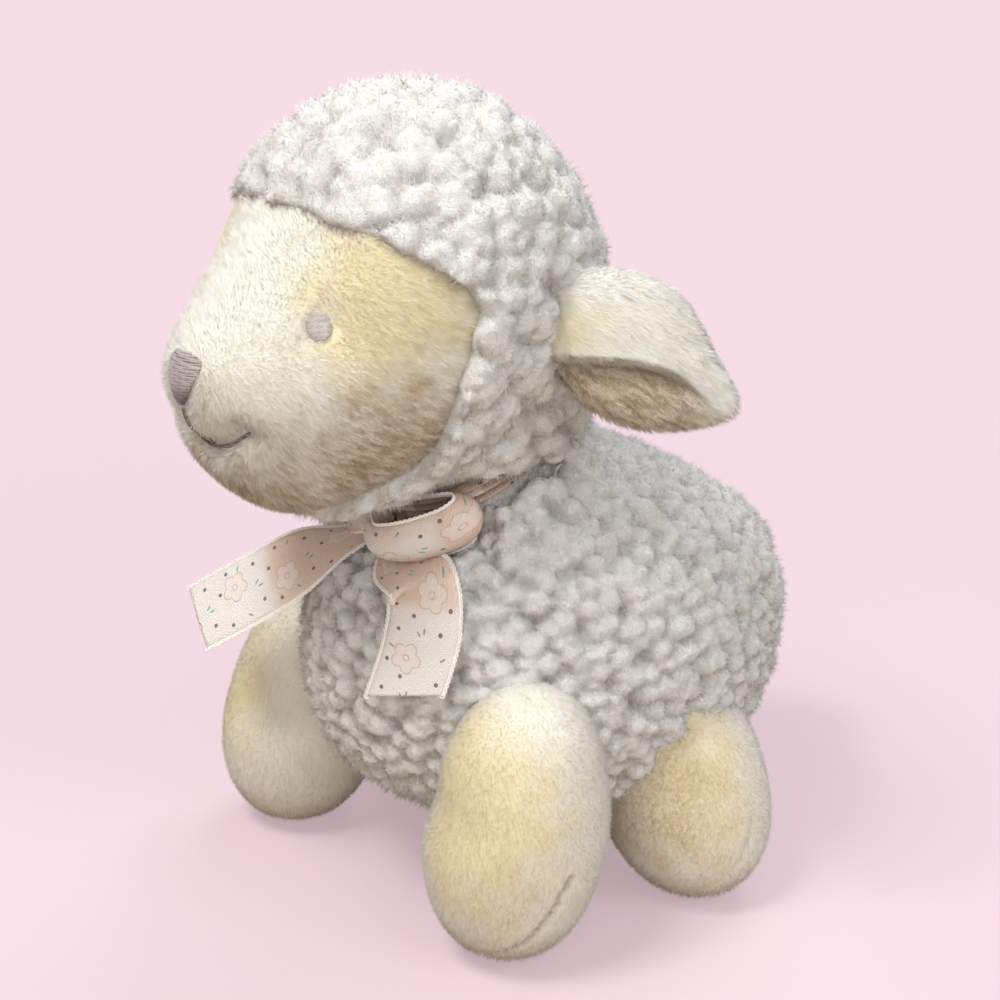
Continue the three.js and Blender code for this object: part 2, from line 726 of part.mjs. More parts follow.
// The left end turns over the torso's rim and hangs down the chest: shares of
// its drop to the left, forward and down, its share of the full width, and how
// much of the turn from under the knot to its hanging part it has made
const leftEndShares = [
  { left: 0.15, forward: 0, down: 0, wide: 0.3, turn: 0 },
  { left: 0.4, forward: 0.175, down: 0.1, wide: 0.6, turn: 0.35 },
  { left: 0.79, forward: 0.21, down: 0.1, wide: 0.9, turn: 0.8 },
  { left: 0.89, forward: 0.25, down: 0.37, wide: 1, turn: 1 },
  { left: 0.89, forward: 0.32, down: 0.66, wide: 1, turn: 1 },
  { left: 0.86, forward: 0.46, down: 1, wide: 1, turn: 1 },
];
const leftEndAcross = new THREE.Vector3(0.82, 0.5, 0.28);

// The right end stands out stiffly from the chest, by shares of its reach
const rightEndShares = [
  { left: -0.08, forward: 0, down: 0, wide: 0.3, turn: 0 },
  { left: -0.17, forward: 0.11, down: 0.06, wide: 0.55, turn: 0.4 },
  { left: -0.3, forward: 0.235, down: 0.155, wide: 0.95, turn: 0.8 },
  { left: -0.49, forward: 0.385, down: 0.315, wide: 1, turn: 1 },
  { left: -0.7, forward: 0.545, down: 0.485, wide: 1, turn: 1 },
];
const rightEndAcross = new THREE.Vector3(0.75, -0.21, -0.63);

function makeRibbonEnd(name, length, shares, startAcross, endAcross) {
  const root = neckPoint(0, knotForward, -endDrop);
  const stops = shares.map(({ left, forward, down, wide, turn }) => ({
    at: root.clone().add(new THREE.Vector3(left, -forward, -down).multiplyScalar(length)),
    across: startAcross.clone().lerp(endAcross, turn),
    width: wide * ribbonWidth,
  }));
  addPiece(bodyAt(stops[0].at), name, solidOf(ribbonSheet(stops)), satinFinish);
}

const torsoBody = bodyAt(new THREE.Vector3());
makeTorso(torsoBody);
makeCollar(torsoBody);
makeKnot(torsoBody);
makeLoop(torsoBody, "left");
makeLoop(torsoBody, "right");
makeTail(bodyAt(tailRoot));
makeNeck(bodyAt(neckCentre));
makeHead(bodyAt(neckCentre));
for (const side of ["left", "right"]) {
  const flip = new THREE.Vector3(side === "left" ? 1 : -1, 1, 1);
  makeEar(bodyAt(earRoot.clone().multiply(flip)), side);
  for (const name of ["front", "hind"]) {
    const foot = name === "front" && side === "left" ? feet.steppedFront : feet[name];
    makeLeg(bodyAt(hipOf(foot).multiply(flip)), name, foot, side);
  }
}
const underKnot = across.clone().multiplyScalar(0.5).addScaledVector(neckFront, -0.86);
makeRibbonEnd("bow_tail_left", leftEndDrop, leftEndShares, underKnot, leftEndAcross);
underKnot.x *= -1;
makeRibbonEnd("bow_tail_right", rightEndReach, rightEndShares, underKnot.negate(), rightEndAcross);

// The origin is on the floor, below the middle of the whole toy
const outline = new THREE.Box3().setFromObject(lamb);
lamb.position.y = -(outline.min.y + outline.max.y) / 2;
lamb.position.x = -(outline.min.x + outline.max.x) / 2;

export default lamb;
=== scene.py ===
import json
import math
from functools import partial, reduce

import bmesh
import bpy
import numpy as np
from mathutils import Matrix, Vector, noise
from mathutils.bvhtree import BVHTree


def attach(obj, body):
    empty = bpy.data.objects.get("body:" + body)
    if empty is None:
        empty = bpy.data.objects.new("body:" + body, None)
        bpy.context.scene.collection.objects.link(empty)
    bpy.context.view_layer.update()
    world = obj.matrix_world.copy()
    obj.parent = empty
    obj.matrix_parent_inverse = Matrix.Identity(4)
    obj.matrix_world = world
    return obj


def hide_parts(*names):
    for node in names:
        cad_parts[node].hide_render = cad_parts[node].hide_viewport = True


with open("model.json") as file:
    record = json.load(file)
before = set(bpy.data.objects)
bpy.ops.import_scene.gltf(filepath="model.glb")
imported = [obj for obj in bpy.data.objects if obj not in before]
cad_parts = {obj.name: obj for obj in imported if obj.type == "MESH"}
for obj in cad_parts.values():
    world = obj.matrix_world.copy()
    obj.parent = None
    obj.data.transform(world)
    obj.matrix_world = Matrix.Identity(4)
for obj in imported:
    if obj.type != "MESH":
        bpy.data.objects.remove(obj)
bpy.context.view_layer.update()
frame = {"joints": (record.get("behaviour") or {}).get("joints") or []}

mm = 0.001
scene = bpy.context.scene
scene.view_settings.view_transform = "Standard"

# Pivots of the moving bodies, from the frame
pivot = {joint["name"]: Vector(joint["pos_m"]) for joint in frame["joints"]}
neckCentre = pivot["head_turn"]
neckAxis = Vector(next(j["axis"] for j in frame["joints"] if j["name"] == "head_turn"))
neckFront = Vector((0, -neckAxis.z, neckAxis.y))
alongNeck, aheadOfNeck, middleOfNeck = np.array(neckAxis), np.array(neckFront), np.array(neckCentre) / mm
feetShift = neckCentre.y + 11 * mm  # the feet's centre, which the sizes below are measured from


# Small helpers

def unit(vector):
    return Vector(vector).normalized()


def smoothStep(low, high, value):
    share = np.clip((value - low) / (high - low), 0, 1)
    return share * share * (3 - 2 * share)


def lengthsOf(vectors):
    return np.linalg.norm(vectors, axis=1)


# Vectors freed of their share along unit ways
def freeOf(vectors, ways):
    return vectors - np.sum(vectors * ways, axis=1)[:, None] * ways


# The turn that takes upright to a way
def turnTo(way):
    return np.array(Vector((0, 0, 1)).rotation_difference(way).to_matrix())


# Soft noise at each point, whose lumps are of a size
def lumpsAt(points, size):
    return np.array([noise.noise(Vector(point / size)) for point in points])


# A bell-shaped fall from 1 at a place
def bell(value, at, half):
    return np.exp(-(((value - at) / half) ** 2))


# A smooth curve between two of its places, from its values and slopes there
def between(u, start, end, slopeIn, slopeOut):
    return (
        (2 * u**3 - 3 * u**2 + 1) * start + (u**3 - 2 * u**2 + u) * slopeIn
        + (3 * u**2 - 2 * u**3) * end + (u**3 - u**2) * slopeOut
    )


# Values from rows of shares at each place along a form, smooth from row to row
def smoothShares(rows, column, at):
    table = np.array(rows, float)
    places, values = table[:, 0], table[:, column]
    last = len(places) - 1
    i = np.clip(np.searchsorted(places, at, side="left") - 1, 0, last - 1)
    before, after = np.maximum(i - 1, 0), np.minimum(i + 2, last)
    span = places[i + 1] - places[i]
    slopeIn = (values[i + 1] - values[before]) / (places[i + 1] - places[before]) * span
    slopeOut = (values[after] - values[i]) / (places[after] - places[i]) * span
    return between((at - places[i]) / span, values[i], values[i + 1], slopeIn, slopeOut)


# A smooth line through points, with so many steps from each to the next
def splinePoints(points, steps):
    points = np.array(points, float)
    last = len(points) - 1
    line = []
    for k in range(last):
        p0, p1, p2, p3 = points[max(k - 1, 0)], points[k], points[k + 1], points[min(k + 2, last)]
        line += [between(u, p1, p2, (p2 - p0) / 2, (p3 - p1) / 2) for u in np.arange(steps) / steps]
    return np.array(line + [points[-1]])


# A ball of even quads: its unit points and its faces
ballStore = {}
def ballOf(cuts):
    if cuts not in ballStore:
        shape = bmesh.new()
        bmesh.ops.create_cube(shape, size=2)
        bmesh.ops.subdivide_edges(shape, edges=shape.edges[:], cuts=cuts, use_grid_fill=True)
        cube = np.array([v.co for v in shape.verts])
        even = np.tan(cube * math.pi / 4)
        points = even / lengthsOf(even)[:, None]
        faces = [[v.index for v in face.verts] for face in shape.faces]
        shape.free()
        ballStore[cuts] = (points, faces)
    return ballStore[cuts]


# Points of a stuffed form along +Z, swollen by its rows of shares
def swell(form, ball, grow=0):
    at = (1 + ball[:, 2]) / 2
    wide, deep, lean = (smoothShares(form["shares"], column, at) for column in (1, 2, 3))
    x = (form["halfWide"] * wide + grow) * ball[:, 0]
    y = (form["halfDeep"] * deep + grow) * ball[:, 1] + form["halfDeep"] * lean
    z = form["length"] / 2 + (form["length"] / 2 + grow) * ball[:, 2]
    return np.stack([x, y, z], axis=1)


def newObject(name, points, edges, faces):
    mesh = bpy.data.meshes.new(name)
    mesh.from_pydata(points, edges, faces)
    made = bpy.data.objects.new(name, mesh)
    scene.collection.objects.link(made)
    return made


def newPiece(name, points, faces):
    piece = newObject(name, (np.asarray(points) * mm).tolist(), [], faces)
    piece.data.shade_smooth()
    return piece


def normalsOf(piece):
    normals = np.zeros(len(piece.data.vertices) * 3, np.float32)
    piece.data.vertices.foreach_get("normal", normals)
    return normals.reshape(-1, 3)


# Normals of a form that isn't a piece yet
def formNormals(points, faces):
    form = newPiece("form", points, faces)
    normals = normalsOf(form)
    bpy.data.objects.remove(form)
    return normals


def giveValues(piece, name, values):
    kind = "FLOAT" if np.ndim(values) == 1 else "FLOAT_VECTOR"
    attribute = piece.data.attributes.new(name, kind, "POINT")
    field = "value" if kind == "FLOAT" else "vector"
    attribute.data.foreach_set(field, np.asarray(values, np.float32).ravel())


def valuesOf(piece, name, across=1):
    values = np.zeros(len(piece.data.vertices) * across, np.float32)
    piece.data.attributes[name].data.foreach_get("value" if across == 1 else "vector", values)
    return values


# Halves a piece's edges that are longer than a length, a few times over
def splitLongEdges(piece, longest, times):
    shape = bmesh.new()
    shape.from_mesh(piece.data)
    for _ in range(times):
        found = [edge for edge in shape.edges if edge.calc_length() > longest * mm]
        bmesh.ops.subdivide_edges(shape, edges=found, cuts=1, use_grid_fill=True)
    shape.to_mesh(piece.data)
    shape.free()
    piece.data.shade_smooth()


# A form of the left side, or its mirror image for the right
def sided(side, points, faces):
    if side == "left":
        return points, faces
    return points * (-1, 1, 1), [face[::-1] for face in faces]


# Gives a finished piece its body, and hides the model's parts that it stands for
def settle(piece, body, nodes=()):
    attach(piece, body)
    if nodes:
        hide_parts(*nodes)
    return piece


# Node trees

# Links a node's inputs or sets them, each found by identifier, name or place
def feed(tree, node, values):
    for key, value in dict(values).items():
        found = [s for s in node.inputs if s.identifier == key]
        socket = found[0] if found else node.inputs[key]
        if isinstance(value, bpy.types.NodeSocket):
            tree.links.new(value, socket)
        else:
            socket.default_value = value


def addNode(tree, kind, values=(), **settings):
    node = tree.nodes.new(kind)
    for key, value in settings.items():
        setattr(node, key, value)
    feed(tree, node, values)
    return node


# The kind of a tree's socket, by its first value: a word stands for what has none
def socketKind(value):
    if isinstance(value, str):
        return "NodeSocket" + value
    if isinstance(value, tuple):
        return "NodeSocketVector" if len(value) == 3 else "NodeSocketColor"
    return "NodeSocketInt" if isinstance(value, int) else "NodeSocketFloat"


def newTree(name, kind, inputs, outputs):
    tree = bpy.data.node_groups.new(name, kind)
    for title, value in inputs.items():
        made = tree.interface.new_socket(title, in_out="INPUT", socket_type=socketKind(value))
        if not isinstance(value, str):
            made.default_value = value
    for title, word in outputs.items():
        tree.interface.new_socket(title, in_out="OUTPUT", socket_type="NodeSocket" + word)
    return tree, addNode(tree, "NodeGroupInput").outputs, addNode(tree, "NodeGroupOutput").inputs


def mathNode(tree, operation, *values):
    return addNode(tree, "ShaderNodeMath", enumerate(values), operation=operation).outputs[0]


# Adding, taking away, multiplying and dividing in a tree
def sumsOf(tree):
    return [partial(mathNode, tree, operation) for operation in ("ADD", "SUBTRACT", "MULTIPLY", "DIVIDE")]


def vectorNode(tree, operation, *values, out=0):
    node = addNode(tree, "ShaderNodeVectorMath", operation=operation)
    feed(tree, node, zip([s.identifier for s in node.inputs if s.enabled], values))
    return node.outputs[out]


def rangeNode(tree, value, low, high, least=0.0, most=1.0, kind="LINEAR"):
    return addNode(tree, "ShaderNodeMapRange", {
        "Value": value, "From Min": low, "From Max": high, "To Min": least, "To Max": most,
    }, interpolation_type=kind).outputs[0]


def noiseNode(tree, place, scale, detail=2.0, twist=0.0):
    return addNode(tree, "ShaderNodeTexNoise", {
        "Vector": place, "Scale": scale, "Detail": detail, "Distortion": twist,
    }).outputs


def randomNode(tree, low, high, seed):
    if isinstance(low, tuple):
        ends = {"Min": low, "Max": high, "Seed": seed}
        return addNode(tree, "FunctionNodeRandomValue", ends, data_type="FLOAT_VECTOR").outputs[0]
    return addNode(tree, "FunctionNodeRandomValue", {"Min_001": low, "Max_001": high, "Seed": seed}).outputs[1]


def namedNode(tree, name, kind="FLOAT"):
    return addNode(tree, "GeometryNodeInputNamedAttribute", {"Name": name}, data_type=kind).outputs[0]


def storeNode(tree, geometry, name, value, kind="FLOAT"):
    return addNode(tree, "GeometryNodeStoreNamedAttribute", {
        "Geometry": geometry, "Name": name, "Value": value,
    }, data_type=kind, domain="POINT").outputs[0]


def ringNode(tree, radius, corners):
    return addNode(tree, "GeometryNodeCurvePrimitiveCircle", {"Resolution": corners, "Radius": radius}).outputs[0]


# A round thread along a curve
def tubeNode(tree, line, radius, corners):
    return addNode(tree, "GeometryNodeCurveToMesh", {
        "Curve": line, "Profile Curve": ringNode(tree, radius, corners), "Fill Caps": True,
    }).outputs[0]


# Ends a geometry tree: the finish goes on, and the geometry goes out
def endTree(tree, given, output, geometry, smooth=False):
    if smooth:
        geometry = addNode(tree, "GeometryNodeSetShadeSmooth", {"Geometry": geometry}).outputs[0]
    painted = addNode(tree, "GeometryNodeSetMaterial", {"Geometry": geometry, "Material": given["Finish"]})
    tree.links.new(painted.outputs[0], output[0])
    return tree


# Values for a tree, with the lengths among them in metres
def inMetres(values, lengths):
    return {title: value * mm if title in lengths else value for title, value in values.items()}


# Runs a geometry tree on a piece's mesh and keeps the result as a plain mesh
def grownPiece(name, source, tree, values, finish):
    piece = bpy.data.objects.new(name, source.data.copy())
    scene.collection.objects.link(piece)
    modifier = piece.modifiers.new("grow", "NODES")
    modifier.node_group = tree
    for item in tree.interface.items_tree:
        if item.in_out == "INPUT" and item.name in values:
            modifier[item.identifier] = values[item.name]
        elif item.name == "Finish":
            modifier[item.identifier] = finish
    bpy.context.view_layer.update()
    graph = bpy.context.evaluated_depsgraph_get()
    evaluated = piece.evaluated_get(graph)
    mesh = bpy.data.meshes.new_from_object(evaluated, preserve_all_data_layers=True, depsgraph=graph)
    piece.modifiers.clear()
    piece.data = mesh
    mesh.name = name
    return piece


# Wool: round lumps of curled pile that stand up from the cloth, with finer curls on them
def makeWoolTree():
    tree, given, output = newTree("woolNubs", "GeometryNodeTree", {
        "Cloth": "Geometry", "Nub Size": 0.004, "Nub Height": 0.003, "Curl Size": 0.0016, "Curl Height": 0.0006,
        "Drift": 0.002, "Sink": 0.002, "Finish": "Material",
    }, {"Cloth": "Geometry"})
    plus, minus, times, over = sumsOf(tree)
    joined, scaled = (partial(vectorNode, tree, kind) for kind in ("ADD", "SCALE"))
    place = addNode(tree, "GeometryNodeInputPosition").outputs[0]
    drift = noiseNode(tree, place, over(0.8, given["Nub Size"]))["Color"]
    away = vectorNode(tree, "SUBTRACT", drift, (0.5, 0.5, 0.5))
    moved = joined(place, scaled(away, given["Drift"]))
    squat = vectorNode(tree, "MULTIPLY", moved, (1, 1, 1.2))

    # Lumps whose round tops meet in soft creases
    def lumps(size, softness):
        cells = addNode(tree, "ShaderNodeTexVoronoi", {
            "Vector": squat, "Scale": over(1.0, size), "Smoothness": softness,
        }, feature="SMOOTH_F1")
        far = over(cells.outputs["Distance"], 0.8)
        return minus(1.0, mathNode(tree, "POWER", far, 2.8))

    nubs = lumps(given["Nub Size"], 0.08)
    curls = lumps(given["Curl Size"], 0.15)
    rise = times(nubs, given["Nub Height"])
    fine = times(curls, given["Curl Height"])
    total = minus(plus(rise, fine), given["Sink"])
    masked = times(total, namedNode(tree, "wool"))
    outward = addNode(tree, "GeometryNodeInputNormal").outputs[0]
    shaped = addNode(tree, "GeometryNodeSetPosition", {
        "Geometry": given["Cloth"], "Offset": scaled(outward, masked),
    }).outputs[0]
    # The lumps' height, kept as pile, lets the finish paint shade into the creases between them
    pile = plus(times(nubs, 0.8), times(curls, 0.2))
    return endTree(tree, given, output, storeNode(tree, shaped, "pile", pile))


# Fibres: tapered three-sided strands that stand on a cloth, combed and frizzed
def makeFibreTree():
    tree, given, output = newTree("pileFibres", "GeometryNodeTree", {
        "Cloth": "Geometry", "Density": 1e6, "Length": 0.002, "Radius": 0.0001, "Comb": 1.0, "Frizz": 0.5,
        "Tuft": 0.5, "Tuft Size": 0.001, "Tuft Shade": 0.5, "Grain": (0, 0, 1), "Seed": 1, "Finish": "Material",
    }, {"Fibres": "Geometry"})
    plus, _, times, over = sumsOf(tree)
    joined, scaled = (partial(vectorNode, tree, kind) for kind in ("ADD", "SCALE"))
    spread = addNode(tree, "GeometryNodeDistributePointsOnFaces", {
        "Mesh": given["Cloth"], "Seed": given["Seed"],
        "Density": times(namedNode(tree, "nap"), given["Density"]),
    }).outputs
    # Tufts are longer along the grain of the cloth
    place = addNode(tree, "GeometryNodeInputPosition").outputs[0]
    onGrain = vectorNode(tree, "DOT_PRODUCT", place, given["Grain"], out=1)
    shorter = scaled(given["Grain"], times(onGrain, 0.72))
    tufts = noiseNode(tree, vectorNode(tree, "SUBTRACT", place, shorter), over(1.0, given["Tuft Size"]), 1.0)
    aside = vectorNode(tree, "SUBTRACT", tufts["Color"], (0.5, 0.5, 0.5))
    shaded = joined(spread["Normal"], scaled(aside, given["Tuft Shade"]))
    kept = storeNode(tree, spread["Points"], "rootNormal", vectorNode(tree, "NORMALIZE", shaded), "FLOAT_VECTOR")
    tone = plus(rangeNode(tree, tufts[0], 0.41, 0.6), randomNode(tree, -0.25, 0.25, 5))
    toned = storeNode(tree, kept, "fibreTone", tone)
    combed = scaled(namedNode(tree, "comb", "FLOAT_VECTOR"), given["Comb"])
    frizzed = scaled(randomNode(tree, (-1, -1, -1), (1, 1, 1), 7), given["Frizz"])
    upright = joined(spread["Normal"], scaled(aside, given["Tuft"]))
    way = joined(joined(upright, combed), frizzed)
    spun = addNode(tree, "FunctionNodeEulerToRotation", {"Euler": randomNode(tree, (0, 0, 0), (0, 0, 6.283), 11)})
    turn = addNode(tree, "FunctionNodeAlignRotationToVector", {"Rotation": spun.outputs[0], "Vector": way}, axis="Z")
    cone = addNode(tree, "GeometryNodeMeshCone", {
        "Vertices": 3, "Side Segments": 1, "Radius Top": 0.0, "Radius Bottom": given["Radius"],
        "Depth": given["Length"],
    }, fill_type="NONE").outputs["Mesh"]
    height = addNode(tree, "ShaderNodeSeparateXYZ", {0: place}).outputs["Z"]
    planted = addNode(tree, "GeometryNodeInstanceOnPoints", {
        "Points": toned, "Rotation": turn.outputs[0], "Scale": randomNode(tree, 0.6, 1.25, 3),
        "Instance": storeNode(tree, cone, "along", over(height, given["Length"])),
    })
    real = addNode(tree, "GeometryNodeRealizeInstances", {"Geometry": planted.outputs[0]})
    return endTree(tree, given, output, real.outputs[0])


# Thread: a round strand along each line of a mesh
def makeThreadTree():
    tree, given, output = newTree("threadAlongLines", "GeometryNodeTree", {
        "Lines": "Geometry", "Radius": 0.0002, "Sides": 6, "Finish": "Material",
    }, {"Thread": "Geometry"})
    curve = addNode(tree, "GeometryNodeMeshToCurve", {"Mesh": given["Lines"]}).outputs[0]
    return endTree(tree, given, output, tubeNode(tree, curve, given["Radius"], given["Sides"]), smooth=True)


# Edge of a ribbon: a corded selvedge with a tiny loop of thread at each step
def makePicotTree():
    tree, given, output = newTree("picotEdge", "GeometryNodeTree", {
        "Edges": "Geometry", "Step": 0.001, "Loop Radius": 0.0004, "Thread Radius": 0.0001, "Finish": "Material",
    }, {"Picots": "Geometry"})
    edges = addNode(tree, "GeometryNodeMeshToCurve", {"Mesh": given["Edges"]}).outputs[0]
    cord = tubeNode(tree, edges, mathNode(tree, "MULTIPLY", given["Thread Radius"], 1.5), 5)
    steps = addNode(tree, "GeometryNodeResampleCurve", {"Curve": edges, "Length": given["Step"]}, mode="LENGTH")
    turn = addNode(tree, "FunctionNodeAlignRotationToVector", {
        "Vector": namedNode(tree, "flatWay", "FLOAT_VECTOR"),
    }, axis="Z")
    loops = addNode(tree, "GeometryNodeInstanceOnPoints", {
        "Points": steps.outputs[0], "Rotation": turn.outputs[0],
        "Instance": tubeNode(tree, ringNode(tree, given["Loop Radius"], 9), given["Thread Radius"], 5),
    })
    real = addNode(tree, "GeometryNodeRealizeInstances", {"Geometry": loops.outputs[0]})
    both = tree.nodes.new("GeometryNodeJoinGeometry")
    for part in (cord, real.outputs[0]):
        tree.links.new(part, both.inputs[0])
    return endTree(tree, given, output, both.outputs[0], smooth=True)


woolTree = makeWoolTree()
fibreTree = makeFibreTree()
threadTree = makeThreadTree()
picotTree = makePicotTree()


# Finishes

def newFinish(name):
    material = bpy.data.materials.new(name)
    material.use_nodes = True
    tree = material.node_tree
    return material, tree, tree.nodes["Principled BSDF"]


def attributeNode(tree, name):
    return addNode(tree, "ShaderNodeAttribute", attribute_name=name).outputs["Fac"]


def objectPlace(tree):
    return addNode(tree, "ShaderNodeTexCoord").outputs["Object"]


def mixColours(tree, share, first, second):
    values = {"Factor_Float": share, "A_Color": first, "B_Color": second}
    return addNode(tree, "ShaderNodeMix", values, data_type="RGBA").outputs[2]


def groupOf(tree, group, values):
    return addNode(tree, "ShaderNodeGroup", values, node_tree=group).outputs


# Soft uneven tone over cloth, as it takes light and handling
def makeMottle():
    tree, given, output = newTree("clothMottle", "ShaderNodeTree", {
        "Colour": (1, 1, 1, 1), "Shade": (0.5, 0.5, 0.5, 1), "Patch Size": 0.01, "Amount": 0.3,
    }, {"Colour": "Color"})
    patches = noiseNode(tree, objectPlace(tree), mathNode(tree, "DIVIDE", 1.0, given["Patch Size"]), 4.0)[0]
    share = rangeNode(tree, patches, 0.35, 0.7, 0.0, given["Amount"])
    tree.links.new(mixColours(tree, share, given["Colour"], given["Shade"]), output[0])
    return tree


# Fine curls of pile in a finish, as a mask and as relief
def makeStreaks():
    tree, given, output = newTree("pileStreaks", "ShaderNodeTree", {"Size": 0.0005, "Twist": 1.5}, {"Share": "Float"})
    curls = noiseNode(tree, objectPlace(tree), mathNode(tree, "DIVIDE", 1.0, given["Size"]), 2.0, given["Twist"])[0]
    tree.links.new(rangeNode(tree, curls, 0.38, 0.62), output[0])
    return tree


mottle = makeMottle()
pileStreaks = makeStreaks()


# A kind of pile: its strands' sizes in mm, how they lie, and the tufts that they form
def pileOf(*values):
    titles = ("Length", "Radius", "Comb", "Frizz", "Tuft", "Tuft Size", "Tuft Shade")
    return inMetres(dict(zip(titles, values)), ("Length", "Radius", "Tuft Size"))


# Fleece: painted shade darkens the creases between the lumps and the strands' roots, and a painted highlight makes
# the strands whiter towards the tip
def fleeceFinish(name, fibre):
    material, tree, surface = newFinish(name)
    plus, _, times, _ = sumsOf(tree)
    colour = mixColours(tree, attributeNode(tree, "pile"), fleece["valleyShade"], fleece["top"])
    if fibre:
        colour = mixColours(tree, 0.25, colour, fleece["valleyShade"])
        lit = times(plus(attributeNode(tree, "along"), 0.4), attributeNode(tree, "fibreTone"))
        colour = mixColours(tree, lit, colour, fleece["tip"])
    else:
        streaks = groupOf(tree, pileStreaks, {"Size": 0.0006, "Twist": 1.5})["Share"]
        colour = mixColours(tree, times(streaks, 0.45), colour, fleece["tip"])
        bump = addNode(tree, "ShaderNodeBump", {"Height": streaks, "Strength": 0.7, "Distance": 0.0004})
        feed(tree, surface, {"Normal": bump.outputs[0]})
    made = groupOf(tree, mottle, {"Colour": colour, "Shade": fleece["valleyShade"], "Patch Size": 0.018, "Amount": 0.25})
    feed(tree, surface, {"Base Color": made["Colour"], "Roughness": 1.0, "Specular IOR Level": 0.15})
    return material


# Short velour pile: the cloth is gold where its attributes say so, and brownish painted shade lies where they say so;
# the cloth under the strands is painted darker, as shade.
# On strands the tufts differ in tone, the darker ones take painted shade (more in the shaded places), and a painted
# highlight whitens them towards their tips
def velourFinish(name, fibre):
    material, tree, surface = newFinish(name)
    plus, _, times, _ = sumsOf(tree)
    brownShade = attributeNode(tree, "brownShade")
    colour = mixColours(tree, attributeNode(tree, "gold"), velour["cream"], velour["gold"])
    colour = mixColours(tree, brownShade, colour, velour["brownShade"])
    if fibre:
        tone = attributeNode(tree, "fibreTone")
        low = mathNode(tree, "MINIMUM", plus(brownShade, velour["lowShare"]), 0.95)
        colour = mixColours(tree, tone, mixColours(tree, low, colour, velour["deep"]), colour)
        lit = times(attributeNode(tree, "along"), plus(times(brownShade, -0.5), velour["tipShare"]))
        colour = mixColours(tree, times(lit, tone), colour, velour["tip"])
    else:
        colour = mixColours(tree, velour["rootShare"], colour, velour["root"])
        streaks = groupOf(tree, pileStreaks, {"Size": 0.0009, "Twist": 0.5})["Share"]
        colour = mixColours(tree, times(streaks, brownShade), colour, velour["deep"])
    made = groupOf(tree, mottle, {"Colour": colour, "Shade": velour["root"], "Patch Size": 0.006, "Amount": 0.14})
    feed(tree, surface, {"Base Color": made["Colour"], "Roughness": 0.75, "Specular IOR Level": 0.25,
                         "Sheen Weight": 0.25, "Sheen Roughness": 0.4})
    return material


# The darkest tone is painted shade in the creases and at the strands' roots; the tip tone is a painted highlight
fleece = {
    "valleyShade": (0.64, 0.61, 0.57, 1), "top": (0.91, 0.9, 0.87, 1), "tip": (0.98, 0.975, 0.96, 1),
    "lumps": {"Nub Size": 5.0, "Nub Height": 2.8, "Curl Size": 2.9, "Curl Height": 0.7, "Drift": 2.4, "Sink": 2.4},
}
fleeceBase = fleeceFinish("white_curly_fleece", False)
fleeceFibre = fleeceFinish("white_fleece_fibres", True)
woolPile = pileOf(1.9, 0.069, 0.2, 1.3, 1.8, 0.9, 1.0)


# A body's fleece cover on a form: wool is where its lumps stand, and nap where its strands
# do, which are (name, number, seed); split is the longest edge and the times of halving
def fleecePiece(body, points, faces, wool, nodes, strands=(), nap=1.0, coarse=1.0, split=None):
    base = newPiece(body + "_base", points, faces)
    every = np.ones(len(points))
    giveValues(base, "wool", wool * every)
    if strands:
        giveValues(base, "nap", nap * every)
        giveValues(base, "comb", np.tile((0, 0, -1.0), (len(points), 1)))
    if split:
        splitLongEdges(base, *split)
    lumps = {**fleece["lumps"], "Nub Size": fleece["lumps"]["Nub Size"] * coarse}
    cover = grownPiece(body + "_fleece", base, woolTree, inMetres(lumps, lumps), fleeceBase)
    settle(cover, body, nodes)
    for title, count, seed in strands:
        fibresOn(cover, title, body, fleeceFibre, woolPile, count, seed)
    bpy.data.objects.remove(base)


# Strands of pile on a piece, each shaded as the tuft that it belongs to
def fibresOn(source, name, body, finish, pile, count, seed, grain=(0, 0, 1)):
    area = sum(face.area for face in source.data.polygons)
    covered = max(float(valuesOf(source, "nap").mean()), 0.01)
    values = {**pile, "Density": count / (area * covered), "Grain": grain, "Seed": seed}
    piece = grownPiece(name, source, fibreTree, values, finish)
    mesh = piece.data
    normals = valuesOf(piece, "rootNormal", 3).reshape(-1, 3)
    layOutFibres(mesh, valuesOf(piece, "along"))
    mesh.shade_smooth()
    mesh.normals_split_custom_set_from_vertices(normals.tolist())
    for spare in ("rootNormal", "comb", "nap", "wool"):
        if spare in mesh.attributes:
            mesh.attributes.remove(mesh.attributes[spare])
    print(name, len(mesh.polygons), "faces")
    return settle(piece, body)


# Each strand has a cell of its own in a map of its own
def layOutFibres(mesh, along):
    corners = 4  # three at a strand's root and one at its tip
    loops = np.zeros(len(mesh.loops), np.int32)
    mesh.loops.foreach_get("vertex_index", loops)
    fibres = loops // corners
    side = max(1, math.ceil(math.sqrt(fibres.max() + 1)))
    turn = (loops % corners) % 3 / 2
    u = (fibres % side + 0.15 + 0.7 * turn) / side
    v = (fibres // side + 0.15 + 0.7 * along[loops]) / side
    layer = mesh.uv_layers.new(name="OFBake")
    layer.data.foreach_set("uv", np.stack([u, v], axis=1).astype(np.float32).ravel())


# Torso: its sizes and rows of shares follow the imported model
torso = {
    "length": 106, "halfWide": 51, "halfDeep": 62,
    "shares": [
        (0, 1.3, 1.3, 0), (0.15, 1.17, 1.17, 0), (0.34, 1.05, 1.05, 0), (0.5, 0.98, 1, 0),
        (0.64, 0.93, 0.92, -0.05), (0.77, 0.87, 0.78, -0.15), (0.88, 0.88, 0.68, -0.31), (1, 1.3, 1, -0.38),
    ],
    "back": 15, "belly": 14, "rim": 4.2, "bibDrop": 3.8, "bibForward": 13, "bibEdge": 3, "softRim": 2,
    "cuts": 125, "fill": 0.85, "strands": 55000,
}


